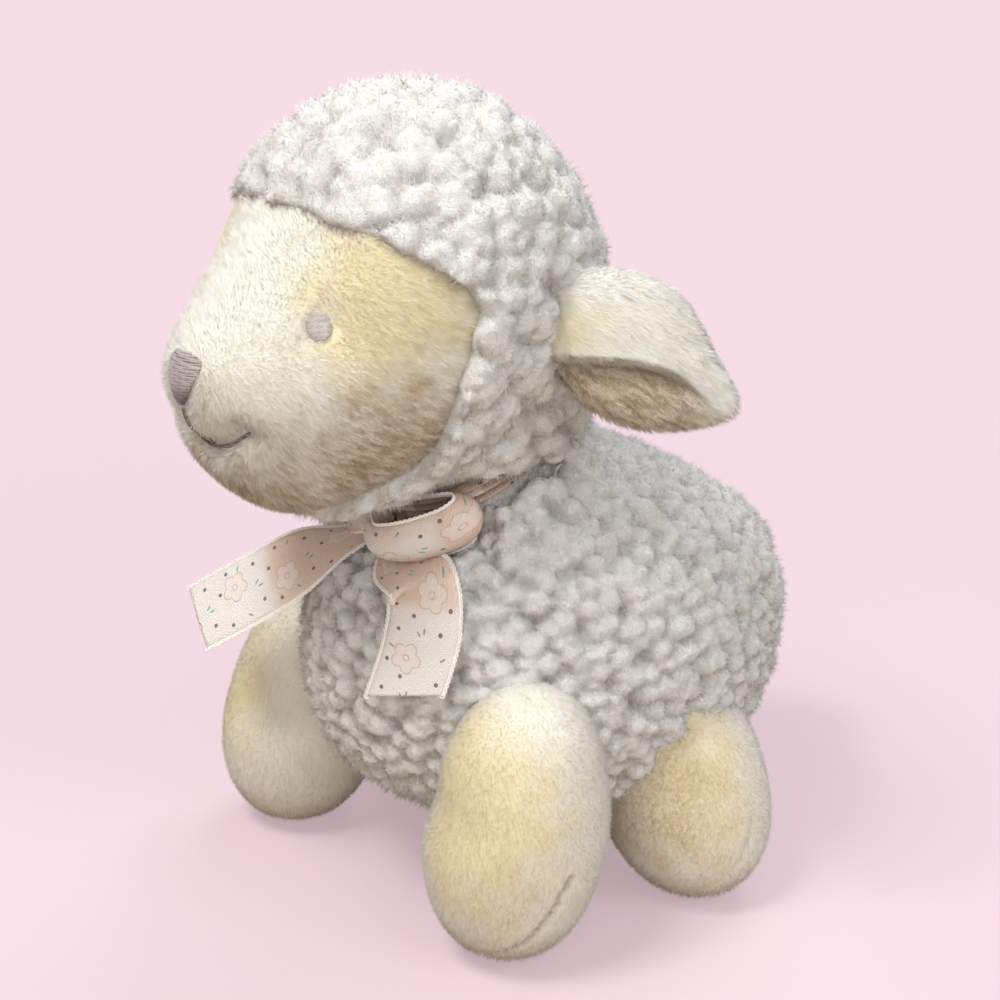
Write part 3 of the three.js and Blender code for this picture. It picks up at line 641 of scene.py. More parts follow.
# Presses what lies past the neck's rim down to it; the rim dips under the bow
def pressedToNeck(points):
    away = points - middleOfNeck
    edge, soft = torso["bibEdge"], torso["softRim"]
    bib = smoothStep(torso["bibForward"] - edge, torso["bibForward"] + edge, away @ aheadOfNeck)
    along = away @ alongNeck + torso["rim"] + torso["bibDrop"] * bib
    past = np.where(along > -soft, (along + soft) ** 2 / (4 * soft), 0)
    past = np.where(along > soft, along, past)
    return points - past[:, None] * alongNeck


def makeTorso():
    ball, faces = ballOf(torso["cuts"])
    points = pressedToNeck(swell(torso, ball) + (0, torso["back"] + feetShift / mm, torso["belly"]))
    strands = [(f"torso_wool_{k + 1}", torso["strands"], 21 + k) for k in range(2)]
    fleecePiece("torso", points, faces, 1.0, ["torso_cover", "torso_stuffing"], strands)


makeTorso()


# Head
head = {
    "length": 98.5, "halfWide": 39, "halfDeep": 42,
    "shares": [
        (0, 0.95, 0.8, 0.24), (0.03, 0.99, 0.87, 0.24), (0.1, 1.04, 0.93, 0.26), (0.19, 1.02, 0.974, 0.28),
        (0.29, 1, 0.984, 0.3), (0.43, 0.996, 0.961, 0.29), (0.58, 0.987, 0.953, 0.21), (0.68, 0.96, 0.94, 0.13),
        (0.74, 0.94, 0.89, 0.02), (0.81, 0.917, 0.85, -0.08), (0.89, 0.9, 0.8, -0.12), (0.96, 0.93, 0.79, -0.1),
        (1, 1, 0.85, -0.04),
    ],
    "front": 81.5, "snoutHeight": 136, "chinShare": 0.74, "hoodCuts": 120, "faceCuts": 82,
    "hoodFill": 0.85, "faceFill": 0.9, "strands": 49000, "faceStrands": 57000,
}
# The hood's pile stands proud of the face; its lip rolls forward, less over the forehead
hood = {
    "proud": 3.5, "sunk": 3.2, "lipRise": 0.9, "lipHalf": 3, "thinner": 0.45, "thinHalf": 9, "lipForward": 2.2,
    "lipUneven": 0.9, "lumpSize": 4.5, "lipShorter": 0.3, "underLip": 1.2, "skirtRadius": 30, "skirtHeight": 109.6,
    "coarse": 1.3, "longestEdge": 1.9, "halvings": 4, "lipAt": 3, "forehead": (150, 170),
    "lipRoll": (0.6, 1.8), "underRoll": (-2.4, 0.9),
}
head["chinHeight"] = head["snoutHeight"] - head["chinShare"] * head["halfDeep"]
# The seam between face and fleece, from the side: back from the snout and up from the chin
seamShares = [
    (0.12, 0.93), (0.25, 0.8), (0.36, 0.71), (0.45, 0.645), (0.495, 0.54),
    (0.455, 0.38), (0.43, 0.17), (0.35, 0.06), (0.25, -0.05),
]


# The head form lies along +Z; laid down, its far end is the snout
def headPoints(ball):
    form = swell(head, ball)
    y = head["length"] - head["front"] - form[:, 2] + feetShift / mm
    return np.stack([form[:, 0], y, head["snoutHeight"] + form[:, 1]], axis=1)


# A place seen from the side, from its shares back from the snout and up from the chin
def sidePlace(back, up):
    return back * head["length"] - head["front"] + feetShift / mm, head["chinHeight"] + up * 2 * head["halfDeep"]


# How far each point lies behind the face's seam, seen from the side: below 0 on the face
def behindSeam(points):
    line = splinePoints([sidePlace(back, up) for back, up in seamShares], 5)
    ahead = np.array([(-head["length"], 0)])
    line = np.concatenate([line[:1] + ahead, line, line[-1:] + ahead])
    place = points[:, 1:]
    nearest = np.full(len(place), 1e9)
    inside = np.zeros(len(place), bool)
    for a, b in zip(line, np.roll(line, -1, axis=0)):
        along = b - a
        share = np.clip((place - a) @ along / (along @ along), 0, 1)
        nearest = np.minimum(nearest, lengthsOf(place - a - share[:, None] * along))
        crosses = (a[1] > place[:, 1]) != (b[1] > place[:, 1])
        rise = b[1] - a[1] if abs(b[1] - a[1]) > 1e-9 else 1e-9
        inside ^= crosses & (place[:, 0] < (place[:, 1] - a[1]) / rise * along[0] + a[0])
    return np.where(inside, -nearest, nearest)


def makeHood():
    ball, faces = ballOf(head["hoodCuts"])
    bare = headPoints(ball)
    side = behindSeam(bare)
    normals = formNormals(bare, faces)
    lift = hood["proud"] * smoothStep(-1.5, 0.8, side) + hood["lipRise"] * bell(side, hood["lipAt"], hood["lipHalf"])
    high = smoothStep(*hood["forehead"], bare[:, 2])
    lift *= 1 - hood["thinner"] * high * bell(np.maximum(side, 0), 0, hood["thinHalf"])
    lift -= hood["sunk"] * (1 - smoothStep(-3, -0.8, side))
    points = bare + lift[:, None] * normals
    # The lip rolls forward over the face
    step = 0.2
    slope = np.stack([np.zeros(len(bare)),
                      behindSeam(bare + (0, step, 0)) - side,
                      behindSeam(bare + (0, 0, step)) - side], axis=1) / step
    slope = freeOf(slope, normals)
    slope /= np.maximum(lengthsOf(slope), 0.3)[:, None]
    uneven = lumpsAt(bare, hood["lumpSize"])
    forward = hood["lipForward"] * (1 - hood["lipShorter"] * high) * (1 + hood["lipUneven"] * uneven)
    roll = -forward * bell(side, *hood["lipRoll"]) + hood["underLip"] * bell(side, *hood["underRoll"])
    points += roll[:, None] * slope
    # The skirt draws in below the head, down to the ribbon
    reach = lengthsOf(points[:, :2] - (0, neckCentre.y / mm))
    share = (1 - smoothStep(hood["skirtRadius"] - 3, hood["skirtRadius"] + 4, reach)) * (normals[:, 2] < -0.1)
    points[:, 2] -= share * np.maximum(points[:, 2] - hood["skirtHeight"], 0)
    fleecePiece("head", points, faces, smoothStep(-1.5, 0.5, side), ["head_hood", "head_stuffing"],
                [("head_wool", head["strands"], 31)], nap=smoothStep(-1.2, 0.2, side),
                coarse=hood["coarse"], split=(hood["longestEdge"], hood["halvings"]))


makeHood()

# The brownish tone, the root tone and the deep tone are painted shade; the tip tone is a painted highlight
velour = {
    "cream": (0.93, 0.915, 0.85, 1), "gold": (0.88, 0.78, 0.47, 1), "brownShade": (0.6, 0.48, 0.31, 1),
    "root": (0.62, 0.52, 0.36, 1), "deep": (0.35, 0.245, 0.14, 1), "rootShare": 0.3, "lowShare": 0.12,
    "tip": (0.97, 0.955, 0.91, 1), "tipShare": 0.9,
}
facePile = pileOf(1.5, 0.08, 1.2, 0.25, 0.8, 1.2, 1.3)
legPile = pileOf(0.95, 0.075, 0.6, 0.3, 0.9, 0.8, 1.1)
earPile = pileOf(1.6, 0.075, 1.3, 0.3, 1.0, 1.4, 1.6)


# A soft patch round a place, uneven at its edge: 1 inside, 0 outside
def softPatch(points, at, size, amount=1.0, core=0.35):
    far = lengthsOf((points - at) / np.array(size))
    return amount * (1 - smoothStep(core, 1, far + 0.25 * lumpsAt(points, 7)))


# Velour over a form: its cloth, whose marks are nap, gold and brownish painted shade, and the pile
# that stands on it, combed one way
def velourPiece(name, body, points, faces, comb, marks, nodes, pile, strands, seed, grain):
    cover = newPiece(name + "_velour", points, faces)
    for title, values in {"comb": freeOf(comb, normalsOf(cover)), **marks}.items():
        giveValues(cover, title, values)
    cover.data.materials.append(velourCloth)
    settle(cover, body, nodes)
    fibresOn(cover, name + "_nap", body, velourNap, pile, strands, seed, grain)
    return cover


velourCloth = velourFinish("cream_velour_cloth", False)
velourNap = velourFinish("cream_velour_nap", True)
# The face: how far it is drawn in at its edge, its eyes and its mouth, its gold patches, and its
# patches of brownish painted shade at the jaws and chin, each a place, a size, an amount and the share that is full
face = {
    "sideAt": 20, "frontAt": -60, "edgeSunk": 2.0, "eyeSunk": 1.3, "eyeHalf": 6.5, "mouthSunk": 3.2, "mouthHalf": 3,
    "temple": ((36, -56, 155), (27, 33, 25), 0.95, 0.38), "jaw": ((36, -48, 113), (36, 46, 32), 0.7, 0.25),
    "chin": ((0, -62, 102), (38, 38, 24), 0.9, 0.35), "comb": (0, 1.0, -0.35), "grain": (0, 0.94, -0.33),
    "eyeBare": (1.6, 2.6), "noseBare": (4.6, 5.8), "mouthBare": (0.2, 1.0),
}
eyeSeat = (0.2, 0.52)  # back from the snout and up from the chin
noseUp, philtrumPlaces = 0.375, [(0, 0.3), (0.025, 0.25), (0.06, 0.195)]
mouthPlaces = [(-0.33, 0.265), (-0.13, 0.22), (0.06, 0.195), (0.22, 0.215), (0.37, 0.26)]


def makeFace():
    ball, faces = ballOf(head["faceCuts"])
    bare = headPoints(ball)
    side = behindSeam(bare)
    normals = formNormals(bare, faces)
    reach = lengthsOf(bare[:, 1:] - sidePlace(*eyeSeat))
    isSide, isFront = abs(bare[:, 0]) > face["sideAt"], bare[:, 1] < face["frontAt"]
    mouth = splinePoints(mouthPlaces, 6) * (head["halfWide"], 1)
    mouth[:, 1] = sidePlace(0, mouth[:, 1])[1]
    line = np.min(np.linalg.norm(bare[:, None, (0, 2)] - mouth[None], axis=2), axis=1)
    # The stitches of the eyes and the mouth draw the cloth in
    sunk = -face["edgeSunk"] * smoothStep(2, 6, side)
    sunk -= face["eyeSunk"] * bell(reach, 0, face["eyeHalf"]) * isSide
    sunk -= face["mouthSunk"] * bell(line, 0, face["mouthHalf"]) * isFront
    points = bare + sunk[:, None] * normals
    # No pile stands where stitches lie
    nap = 1 - smoothStep(-0.5, 1.5, side)
    nap *= np.where(isSide, smoothStep(*face["eyeBare"], reach), 1)
    noseZ = sidePlace(0, noseUp)[1]
    nap *= np.where(isFront, smoothStep(*face["noseBare"], np.hypot(bare[:, 0], bare[:, 2] - noseZ)), 1)
    nap *= np.where(isFront, smoothStep(*face["mouthBare"], line), 1)
    # The chin and the jaws take brownish painted shade
    marks = {"nap": nap, "gold": np.zeros(len(bare)), "brownShade": softPatch(bare, *face["chin"])}
    for mark, (at, *patch) in (("gold", face["temple"]), ("brownShade", face["jaw"])):
        for sign in (1, -1):
            marks[mark] = np.maximum(marks[mark], softPatch(bare, np.array(at) * (sign, 1, 1), *patch))
    return velourPiece("face", "head", points, faces, np.array(face["comb"]), marks, ["face_panel"],
                       facePile, head["faceStrands"], 41, face["grain"])


faceCover = makeFace()


# Threads that follow lines laid on the face
def threadPiece(name, node, lines, radius, finish):
    points, edges = [], []
    for line in lines:
        start = len(points)
        points.extend(line)
        edges.extend((start + k, start + k + 1) for k in range(len(line) - 1))
    source = newObject(name + "_lines", [tuple(p) for p in points], edges, [])
    piece = grownPiece(name, source, threadTree, {"Radius": radius * mm}, finish)
    bpy.data.objects.remove(source)
    settle(piece, "head", [node])


def threadFinish(name, light, dark, shadeBelow=None):
    material, tree, surface = newFinish(name)
    colour = groupOf(tree, mottle, {"Colour": light, "Shade": dark, "Patch Size": 0.0012, "Amount": 0.7})["Colour"]
    # The thread can be painted darker towards the bottom, as shade
    if shadeBelow:
        height = addNode(tree, "ShaderNodeSeparateXYZ", {0: objectPlace(tree)}).outputs["Z"]
        share = rangeNode(tree, height, shadeBelow["from"] * mm, shadeBelow["to"] * mm, kind="SMOOTHSTEP")
        colour = mixColours(tree, share, colour, shadeBelow["colour"])
    feed(tree, surface, {"Base Color": colour, "Roughness": 0.45, "Sheen Weight": 0.3})
    return material


faceTree = BVHTree.FromObject(faceCover, bpy.context.evaluated_depsgraph_get())


# The face's surface in front of a place, and the way it faces there
def onFace(start, way):
    hit, normal, _, _ = faceTree.ray_cast(Vector(start) * mm, Vector(way))
    return hit, normal


def cheekSeat(back, up, sideSign):
    y, z = sidePlace(back, up)
    return onFace((sideSign * 90, y, z), (-sideSign, 0, 0))


def frontSeat(left, up):
    return onFace((left * head["halfWide"], -180, sidePlace(0, up)[1]), (0, 1, 0))


# Rows of satin stitches over an outline on the face: the rows run across
def satinRows(seat, normal, halfWide, halfHigh, rows, dome, widthAt, wave, slant=0.0):
    level = Vector((0, 0, 1)).cross(normal).normalized()
    sideways = level * math.cos(slant) + normal.cross(level) * math.sin(slant)
    upwards = normal.cross(sideways)
    lines = []
    for k in range(rows):
        v = -1 + 2 * (k + 0.5) / rows
        half = widthAt(v)
        line = []
        for j in range(embroidery["stitchSteps"] + 1):
            u = -1 + 2 * j / embroidery["stitchSteps"]
            x = halfWide * half * u
            y = halfHigh * v + wave * math.sin(3 * u + 1.7 * k)
            start = seat + sideways * x * mm + upwards * y * mm + normal * 20 * mm
            hit, _, _, _ = faceTree.ray_cast(start, -normal)
            if hit is None:
                continue
            rise = dome * max(0, 1 - (half * u) ** 2 - 0.6 * v * v) ** 0.5 - 0.5 * (abs(u) > 0.99)
            line.append(hit + normal * rise * mm)
        if len(line) > 1:
            lines.append(line)
    return lines


embroidery = {
    "eyeHalfWide": 2.8, "eyeHalfHigh": 2.8, "eyeRows": 17, "noseHalfWide": 7.4, "noseHalfHigh": 5.6, "noseRows": 34,
    "eyeDome": 1.1, "eyeWave": 0.08, "eyeSlant": 0.35, "noseDome": 1.5, "noseWave": 0.15, "stitchSteps": 8,
    "threadRadius": 0.25, "mouthRadius": 0.42, "mouthProud": 0.5,
}
mauve = threadFinish("mauve_satin_thread", (0.52, 0.48, 0.45, 1), (0.3, 0.26, 0.24, 1))
# The nose is painted darker towards its bottom: painted shade
mauveNose = threadFinish("mauve_nose_thread", (0.42, 0.37, 0.36, 1), (0.25, 0.2, 0.2, 1),
                         {"from": 137, "to": 131.5, "colour": (0.09, 0.06, 0.075, 1)})
darkThread = threadFinish("dark_brown_thread", (0.12, 0.075, 0.05, 1), (0.05, 0.03, 0.025, 1))


def makeEmbroidery():
    for side, sign in (("left", 1), ("right", -1)):
        seat, normal = cheekSeat(*eyeSeat, sign)
        lines = satinRows(seat, normal, embroidery["eyeHalfWide"], embroidery["eyeHalfHigh"], embroidery["eyeRows"],
                          embroidery["eyeDome"], lambda v: math.sqrt(max(0, 1 - v * v)), embroidery["eyeWave"],
                          embroidery["eyeSlant"] * sign)
        threadPiece(f"eye_{side}_stitches", f"eye_{side}", lines, embroidery["threadRadius"], mauve)
    seat, normal = frontSeat(0, noseUp)
    lines = satinRows(seat, normal, embroidery["noseHalfWide"], embroidery["noseHalfHigh"], embroidery["noseRows"],
                      embroidery["noseDome"], lambda v: math.sqrt(max(0, 1 - abs(v) ** 4)) * (0.64 + 0.36 * v),
                      embroidery["noseWave"])
    threadPiece("nose_stitches", "nose_embroidery", lines, embroidery["threadRadius"], mauveNose)
    for name, node, places in (
        ("philtrum_thread", "philtrum_stitches", philtrumPlaces),
        ("mouth_thread", "mouth_stitches", mouthPlaces),
    ):
        line = []
        for left, up in splinePoints(places, 6):
            hit, normal = frontSeat(left, up)
            line.append(hit + normal * embroidery["mouthProud"] * mm)
        threadPiece(name, node, [line], embroidery["mouthRadius"], darkThread)


makeEmbroidery()

# Ears: a flat leaf of velour whose upper lobe folds over the lower one at the root
# One share scales both the gold at the root and the brownish painted shade on the lower lobe, under the fold
ear = {
    "length": 49, "halfWide": 15, "halfDeep": 7,
    "shares": [
        (0, 0.8, 1.1, 0), (0.16, 0.9, 1.1, 0), (0.35, 0.98, 1.05, 0), (0.55, 1, 0.95, 0),
        (0.75, 0.9, 0.85, 0), (0.9, 0.72, 0.72, 0), (1, 0.55, 0.65, 0),
    ],
    "sunk": 8, "cuts": 56, "fill": 0.4, "strands": 25500, "lobeRise": 2.0, "lobeSink": 4.2, "tintAndShade": 0.75,
    "fold": [(0, -0.75), (0.2, -0.45), (0.38, -0.15), (0.55, 0.0), (0.75, -0.1), (1, -0.2)],
    "slimTop": 3.6, "foldEnds": (0.35, 0.8), "riseFade": 7, "sinkFade": 9,
}
earOut = unit((0.74, 0.47, -0.44))
earFace = Vector((0.64, -0.69, 0.34))
earFace = (earFace - earFace.dot(earOut) * earOut).normalized()
earHinge = earFace.cross(earOut)


def makeEar(side):
    ball, faces = ballOf(ear["cuts"])
    points = swell(ear, ball) - (0, 0, ear["sunk"])
    u, v = points[:, 0] / ear["halfWide"], np.clip(points[:, 2] / ear["length"], -0.2, 1)
    front = smoothStep(-1, 2, points[:, 1])
    points[:, 0] -= ear["slimTop"] * smoothStep(0.3, 0.75, v) * smoothStep(0.1, 1, u)  # the upper edge is straighter
    fold = (u - smoothShares(ear["fold"], 1, np.clip(v, 0, 1))) * ear["halfWide"]
    fade = 1 - smoothStep(*ear["foldEnds"], v)
    above = smoothStep(-0.5, 0.9, fold)
    step = ear["lobeRise"] * above * np.exp(-np.maximum(fold, 0) / ear["riseFade"])
    step -= ear["lobeSink"] * (1 - above) * np.exp(np.minimum(fold, 0) / ear["sinkFade"])
    points[:, 1] += step * front * fade
    # The lower lobe, under the fold, takes brownish painted shade
    lower = (1 - smoothStep(-1, 1, fold)) * front * (1 - smoothStep(0.55, 1, v))
    rootGold = front * (1 - smoothStep(0.02, 0.34, v)) * smoothStep(-1, 4, fold) * (1 - smoothStep(8, 15, fold))
    turned = points @ np.array([earHinge, earFace, earOut]) + np.array(pivot["ear_left_flap"]) / mm
    turned, faces = sided(side, turned, faces)
    out = np.array(earOut) * (1 if side == "left" else -1, 1, 1)
    body = f"ear_{side}"
    nodes = [f"{body}_inner_panel", f"{body}_outer_panel", f"{body}_padding"]
    marks = {"nap": np.ones(len(turned)), "gold": ear["tintAndShade"] * rootGold, "brownShade": ear["tintAndShade"] * lower}
    velourPiece(body, body, turned, faces, out, marks, nodes, earPile, ear["strands"], 51, tuple(out))


for side in ("left", "right"):
    makeEar(side)

# Legs: the left front foot is stepped in, below the same hip
leg = {
    "length": 66.5, "halfWide": 20.5, "halfDeep": 21,
    "shares": [
        (0, 1.12, 1.12, 0), (0.12, 1.08, 1.08, 0), (0.3, 1.02, 1.02, 0),
        (0.5, 0.99, 0.99, 0), (0.75, 0.97, 0.97, 0), (1, 1.05, 1.05, 0),
    ],
    "soleCut": 0.5, "cuts": 58, "hipShare": 0.72, "stepIn": 9, "stepBack": 6.5, "fill": 0.9,
    "strands": {"front": 30000, "hind": 24000}, "creased": {"front": 1.0, "hind": 0.25},
    "creaseDepth": 1.4, "creaseHalf": 1.0, "waistDepth": 2.2, "waistHeight": 39, "waistHalf": 8,
    "gold": ((9, -15, 43), (27, 26, 36), 0.95, 0.35), "shade": ((0, -22, 34), (34, 22, 26), 0.45, 0.3),
    "footShade": 0.6, "footHigh": 14, "creaseShade": 0.55, "waistWay": (-0.61, -0.79),
    "creaseShadeHalf": 0.9, "napFrom": (1.2, 4),
}
frontLean = Vector((-9, 16, leg["length"]))
hipAbove = frontLean.normalized() * leg["hipShare"] * leg["length"]
legLeans = {
    "front_right": frontLean,
    "front_left": hipAbove + Vector((leg["stepIn"], -leg["stepBack"], 0)),
    "hind_left": Vector((-35, -7, leg["length"])),
    "hind_right": Vector((-35, -7, leg["length"])),
}
# The closing seam's crease: outward, back and up from the middle of the foot
creasePlaces = [(19.5, 3, 27), (20, -1, 19), (18.5, -6, 10), (13, -12, 3), (6, -15, 0.5)]


def makeLeg(name, side):
    sign = 1 if side == "left" else -1
    lean = unit(legLeans[f"{name}_{side}"])
    hip = pivot[f"leg_{name}_{side}_swing"] * 1
    hip.x *= sign
    sole = np.array(hip - lean * leg["hipShare"] * leg["length"] * mm) / mm
    ball, faces = ballOf(leg["cuts"])
    points = swell(leg, ball) @ turnTo(lean).T
    points += (sole[0], sole[1], -points[:, 2].min() - leg["soleCut"])
    points[:, 2] = np.maximum(points[:, 2], 0.05)
    foot = np.array((sole[0], sole[1], 0))
    # The crease draws the cloth in
    crease = splinePoints(creasePlaces, 8) + foot
    crease = np.array([points[np.argmin(lengthsOf(points - place))] for place in crease])
    near = np.min(np.linalg.norm(points[:, None] - crease[None], axis=2), axis=1)
    inward = foot + np.array(lean) * points[:, 2:3] - points
    inward /= np.maximum(lengthsOf(inward), 1)[:, None]
    # A shallow waist above the foot, on the inner front side
    ahead = -(inward[:, 0] * leg["waistWay"][0] + inward[:, 1] * leg["waistWay"][1])
    waist = bell(points[:, 2], leg["waistHeight"], leg["waistHalf"])
    points += (leg["waistDepth"] * waist * np.maximum(ahead, 0))[:, None] * inward
    creased = leg["creased"][name]
    depth = creased * leg["creaseDepth"] * bell(near, 0, leg["creaseHalf"]) * smoothStep(0.1, 2, points[:, 2])
    points += depth[:, None] * inward
    gold, shade = (softPatch(points, foot + at, *patch) for at, *patch in (leg["gold"], leg["shade"]))
    # The foot is painted darker towards the sole, and the seam's crease darker along it: painted shade
    brownShade = leg["footShade"] * (1 - smoothStep(0, leg["footHigh"], points[:, 2]))
    brownShade = np.maximum(brownShade, leg["creaseShade"] * creased * bell(near, 0, leg["creaseShadeHalf"]))
    # The hind legs take painted shadow from the belly
    if name == "hind":  # the belly's shade side is greyer
        brownShade = np.maximum(brownShade, shade)
    marks = {"nap": smoothStep(*leg["napFrom"], points[:, 2]), "gold": gold, "brownShade": brownShade}
    points, faces = sided(side, points, faces)
    body = f"leg_{name}_{side}"
    velourPiece(body, body, points, faces, np.array((0, 0, -1.0)), marks, [f"{body}_cover", f"{body}_stuffing"],
                legPile, leg["strands"][name], 61, (0, 0, 1))


for name in ("front", "hind"):
    for side in ("left", "right"):
        makeLeg(name, side)

# Tail
tail = {
    "length": 26, "halfWide": 10, "halfDeep": 5,
    "shares": [(0, 0.9, 1, 0), (0.5, 1, 1, 0), (1, 1.2, 1.1, 0)],
    "sunk": 10, "grow": 1.0, "cuts": 34, "wool": 0.7, "fill": 0.6, "strands": 7000,
    "out": (0, 0.66, -0.75),
}


def makeTail():
    out = unit(tail["out"])
    across = Vector((1, 0, 0))
    ball, faces = ballOf(tail["cuts"])
    points = swell(tail, ball, tail["grow"]) - (0, 0, tail["sunk"])
    points = points @ np.array([across, out.cross(across), out]) + np.array(pivot["tail_flop"]) / mm
    fleecePiece("tail", points, faces, tail["wool"], ["tail_cover", "tail_stuffing"],
                [("tail_wool", tail["strands"], 71)])


makeTail()

# Neck: the drawn-in fleece below the hood, which the head turns on
neck = {"ball": 23.6, "grooveHalf": 3.4, "grooveDepth": 1.6, "cuts": 44, "woolShare": 0.35, "fill": 0.8}


def makeNeck():
    ball, faces = ballOf(neck["cuts"])
    along = ball @ alongNeck * neck["ball"]
    groove = 1 - smoothStep(neck["grooveHalf"], neck["grooveHalf"] + 1, abs(along))
    reach = neck["ball"] - neck["grooveDepth"] * groove
    points = ball * reach[:, None] + middleOfNeck
    fleecePiece("neck", points, faces, neck["woolShare"] * (1 - groove), ["neck_stuffing"])


makeNeck()

# Ribbon
ribbon = {
    "width": 17, "thickness": 0.35, "collarInside": 23.3, "collarWidth": 6, "loopWidth": 11.5, "loopCup": 3.8,
    "loopReach": 19, "loopHalfDepth": 4.5, "loopDrop": 1, "loopCurl": 0.3, "collarThick": 0.6, "knotGap": 0.2,
    "knotHalf": 4, "knotDrop": 1.5, "endDrop": 6.4, "leftEndDrop": 28, "rightEndReach": 53,
    "collarTurns": 48, "collarOut": 0.3,
    "collarPleats": 3, "pleatDepth": 0.9, "endCup": 0.5, "knotCuts": 28,
    "picots": {"Step": 1.2, "Loop Radius": 0.6, "Thread Radius": 0.19},
}
ribbon["knotForward"] = ribbon["collarInside"] + ribbon["collarThick"] + ribbon["knotGap"] + ribbon["knotHalf"]
# The fold tone is painted shade over the gathered collar, deepest in its pleats' valleys
satinTones = {
    "ground": (0.8, 0.62, 0.5, 1), "shade": (0.66, 0.43, 0.31, 1), "blossom": (0.88, 0.79, 0.74, 1),
    "outline": (0.66, 0.42, 0.4, 1), "dot": (0.07, 0.06, 0.08, 1), "leaf": (0.16, 0.36, 0.38, 1),
    "edge": (0.97, 0.94, 0.9, 1), "fold": (0.3, 0.19, 0.15, 1), "shine": (0.85, 0.82, 0.78, 1),
}


def neckPoint(left, forward, along):
    return middleOfNeck + (left, 0, 0) + aheadOfNeck * forward + alongNeck * along


# The ribbon's print, in millimetres across and along it: a five-petalled blossom
# in each repeat, with loose dots and leaf dashes round it
dotPlaces = [(-5.6, -5.2), (4.4, -6.4), (-2.2, 5.6), (6.4, 3.8), (-6.6, 3.0)]
leafPlaces = [(-0.6, -5.4, 0.9), (0.6, -6.3, 1.5), (6.2, -1.6, 2.3), (-6.4, -0.6, 0.4)]


def makePrint():
    tree, given, output = newTree("blossomPrint", "ShaderNodeTree", {
        "Place": (0, 0, 0), "Repeat": 15.0, "Blossom": 3.5, "Dot": 0.5,
    }, dict.fromkeys(("Blossom", "Outline", "Dots", "Leaves"), "Float"))
    plus, minus, times, over = sumsOf(tree)
    below, most, size = (partial(mathNode, tree, operation) for operation in ("LESS_THAN", "MAXIMUM", "ABSOLUTE"))
    place = addNode(tree, "ShaderNodeSeparateXYZ", {0: given["Place"]}).outputs
    turns = over(place["Y"], given["Repeat"])
    odd = mathNode(tree, "FLOORED_MODULO", mathNode(tree, "FLOOR", turns), 2.0)
    x = place["X"]
    y = times(minus(mathNode(tree, "FRACT", turns), 0.5), given["Repeat"])

    def length(a, b):
        return mathNode(tree, "SQRT", plus(times(a, a), times(b, b)))

    # 1 within a radius of a spot that is stretched and turned, 0 outside
    def spot(left, up, radius, stretch=1.0, angle=0.0):
        dx, dy = minus(x, left), minus(y, up)
        c, s = math.cos(angle), math.sin(angle)
        along = plus(times(dx, c), times(dy, s))
        across = times(minus(times(dy, c), times(dx, s)), stretch)
        return below(length(along, across), radius)

    # The blossoms lie left and right of the middle by turns
    dx = minus(x, times(minus(times(odd, 2.0), 1.0), 2.2))
    dy = minus(y, 1.0)
    petals = size(mathNode(tree, "COSINE", times(mathNode(tree, "ARCTAN2", dy, dx), 2.5)))
    far = length(dx, dy)
    past = minus(far, times(given["Blossom"], plus(times(petals, 0.32), 0.72)))
    heart = below(size(minus(far, 0.7)), 0.16)
    dots = reduce(most, [spot(left, up, given["Dot"]) for left, up in dotPlaces])
    leaves = reduce(most, [spot(left, up, 0.75, 3.0, turn) for left, up, turn in leafPlaces])
    for k, mask in enumerate((below(past, 0.0), most(below(size(past), 0.17), heart), dots, leaves)):
        tree.links.new(mask, output[k])
    return tree


blossomPrint = makePrint()


def satinFinish():
    material, tree, surface = newFinish("blush_printed_satin")
    plus, _, times, _ = sumsOf(tree)
    place = addNode(tree, "ShaderNodeUVMap", uv_map="ribbonMap").outputs[0]
    made = groupOf(tree, mottle, {
        "Colour": satinTones["ground"], "Shade": satinTones["shade"], "Patch Size": 0.008, "Amount": 0.35,
    })
    sheen = attributeNode(tree, "sheen")
    # Painted sheen: where it lies, the colour turns to the silvery shine tone
    colour = mixColours(tree, times(sheen, 0.9), made["Colour"], satinTones["shine"])
    # Twill lines run slantwise over the satin, broken by its slubs; as relief they catch the light, and painted
    # glints whiten them, most where the painted sheen lies
    twill = addNode(tree, "ShaderNodeTexWave", {
        "Vector": place, "Scale": 0.95, "Distortion": 1.2, "Detail": 2.0,
    }, bands_direction="DIAGONAL").outputs["Fac"]
    lines = times(twill, rangeNode(tree, noiseNode(tree, place, 2.2)[0], 0.4, 0.62))
    glint = times(lines, plus(times(sheen, 0.8), 0.15))
    colour = mixColours(tree, glint, colour, (1, 1, 1, 1))
    # Gathered strips are painted darker, most in the pleats' valleys: painted shade
    colour = mixColours(tree, times(attributeNode(tree, "fold"), 0.85), colour, satinTones["fold"])
    marks = groupOf(tree, blossomPrint, {"Place": place})
    for name, tone, share in (
        ("Blossom", "blossom", 0.6), ("Outline", "outline", 0.75), ("Dots", "dot", 0.85), ("Leaves", "leaf", 0.85),
    ):
        colour = mixColours(tree, times(marks[name], share), colour, satinTones[tone])
    bump = addNode(tree, "ShaderNodeBump", {"Height": lines, "Strength": 0.7, "Distance": 0.0003})
    feed(tree, surface, {
        "Base Color": colour, "Normal": bump.outputs[0], "Roughness": rangeNode(tree, twill, 0.0, 1.0, 0.5, 0.3),
        "Specular IOR Level": 0.6, "Anisotropic": 0.5,
    })
    return material


satin = satinFinish()
edgeThread = threadFinish("pale_edge_thread", satinTones["edge"], satinTones["blossom"])


# Lays uvs, in millimetres, as a piece's map for the print
def giveMap(piece, uvs):
    layer = piece.data.uv_layers.new(name="ribbonMap")
    for loop in piece.data.loops:
        layer.data[loop.index].uv = uvs[loop.vertex_index]


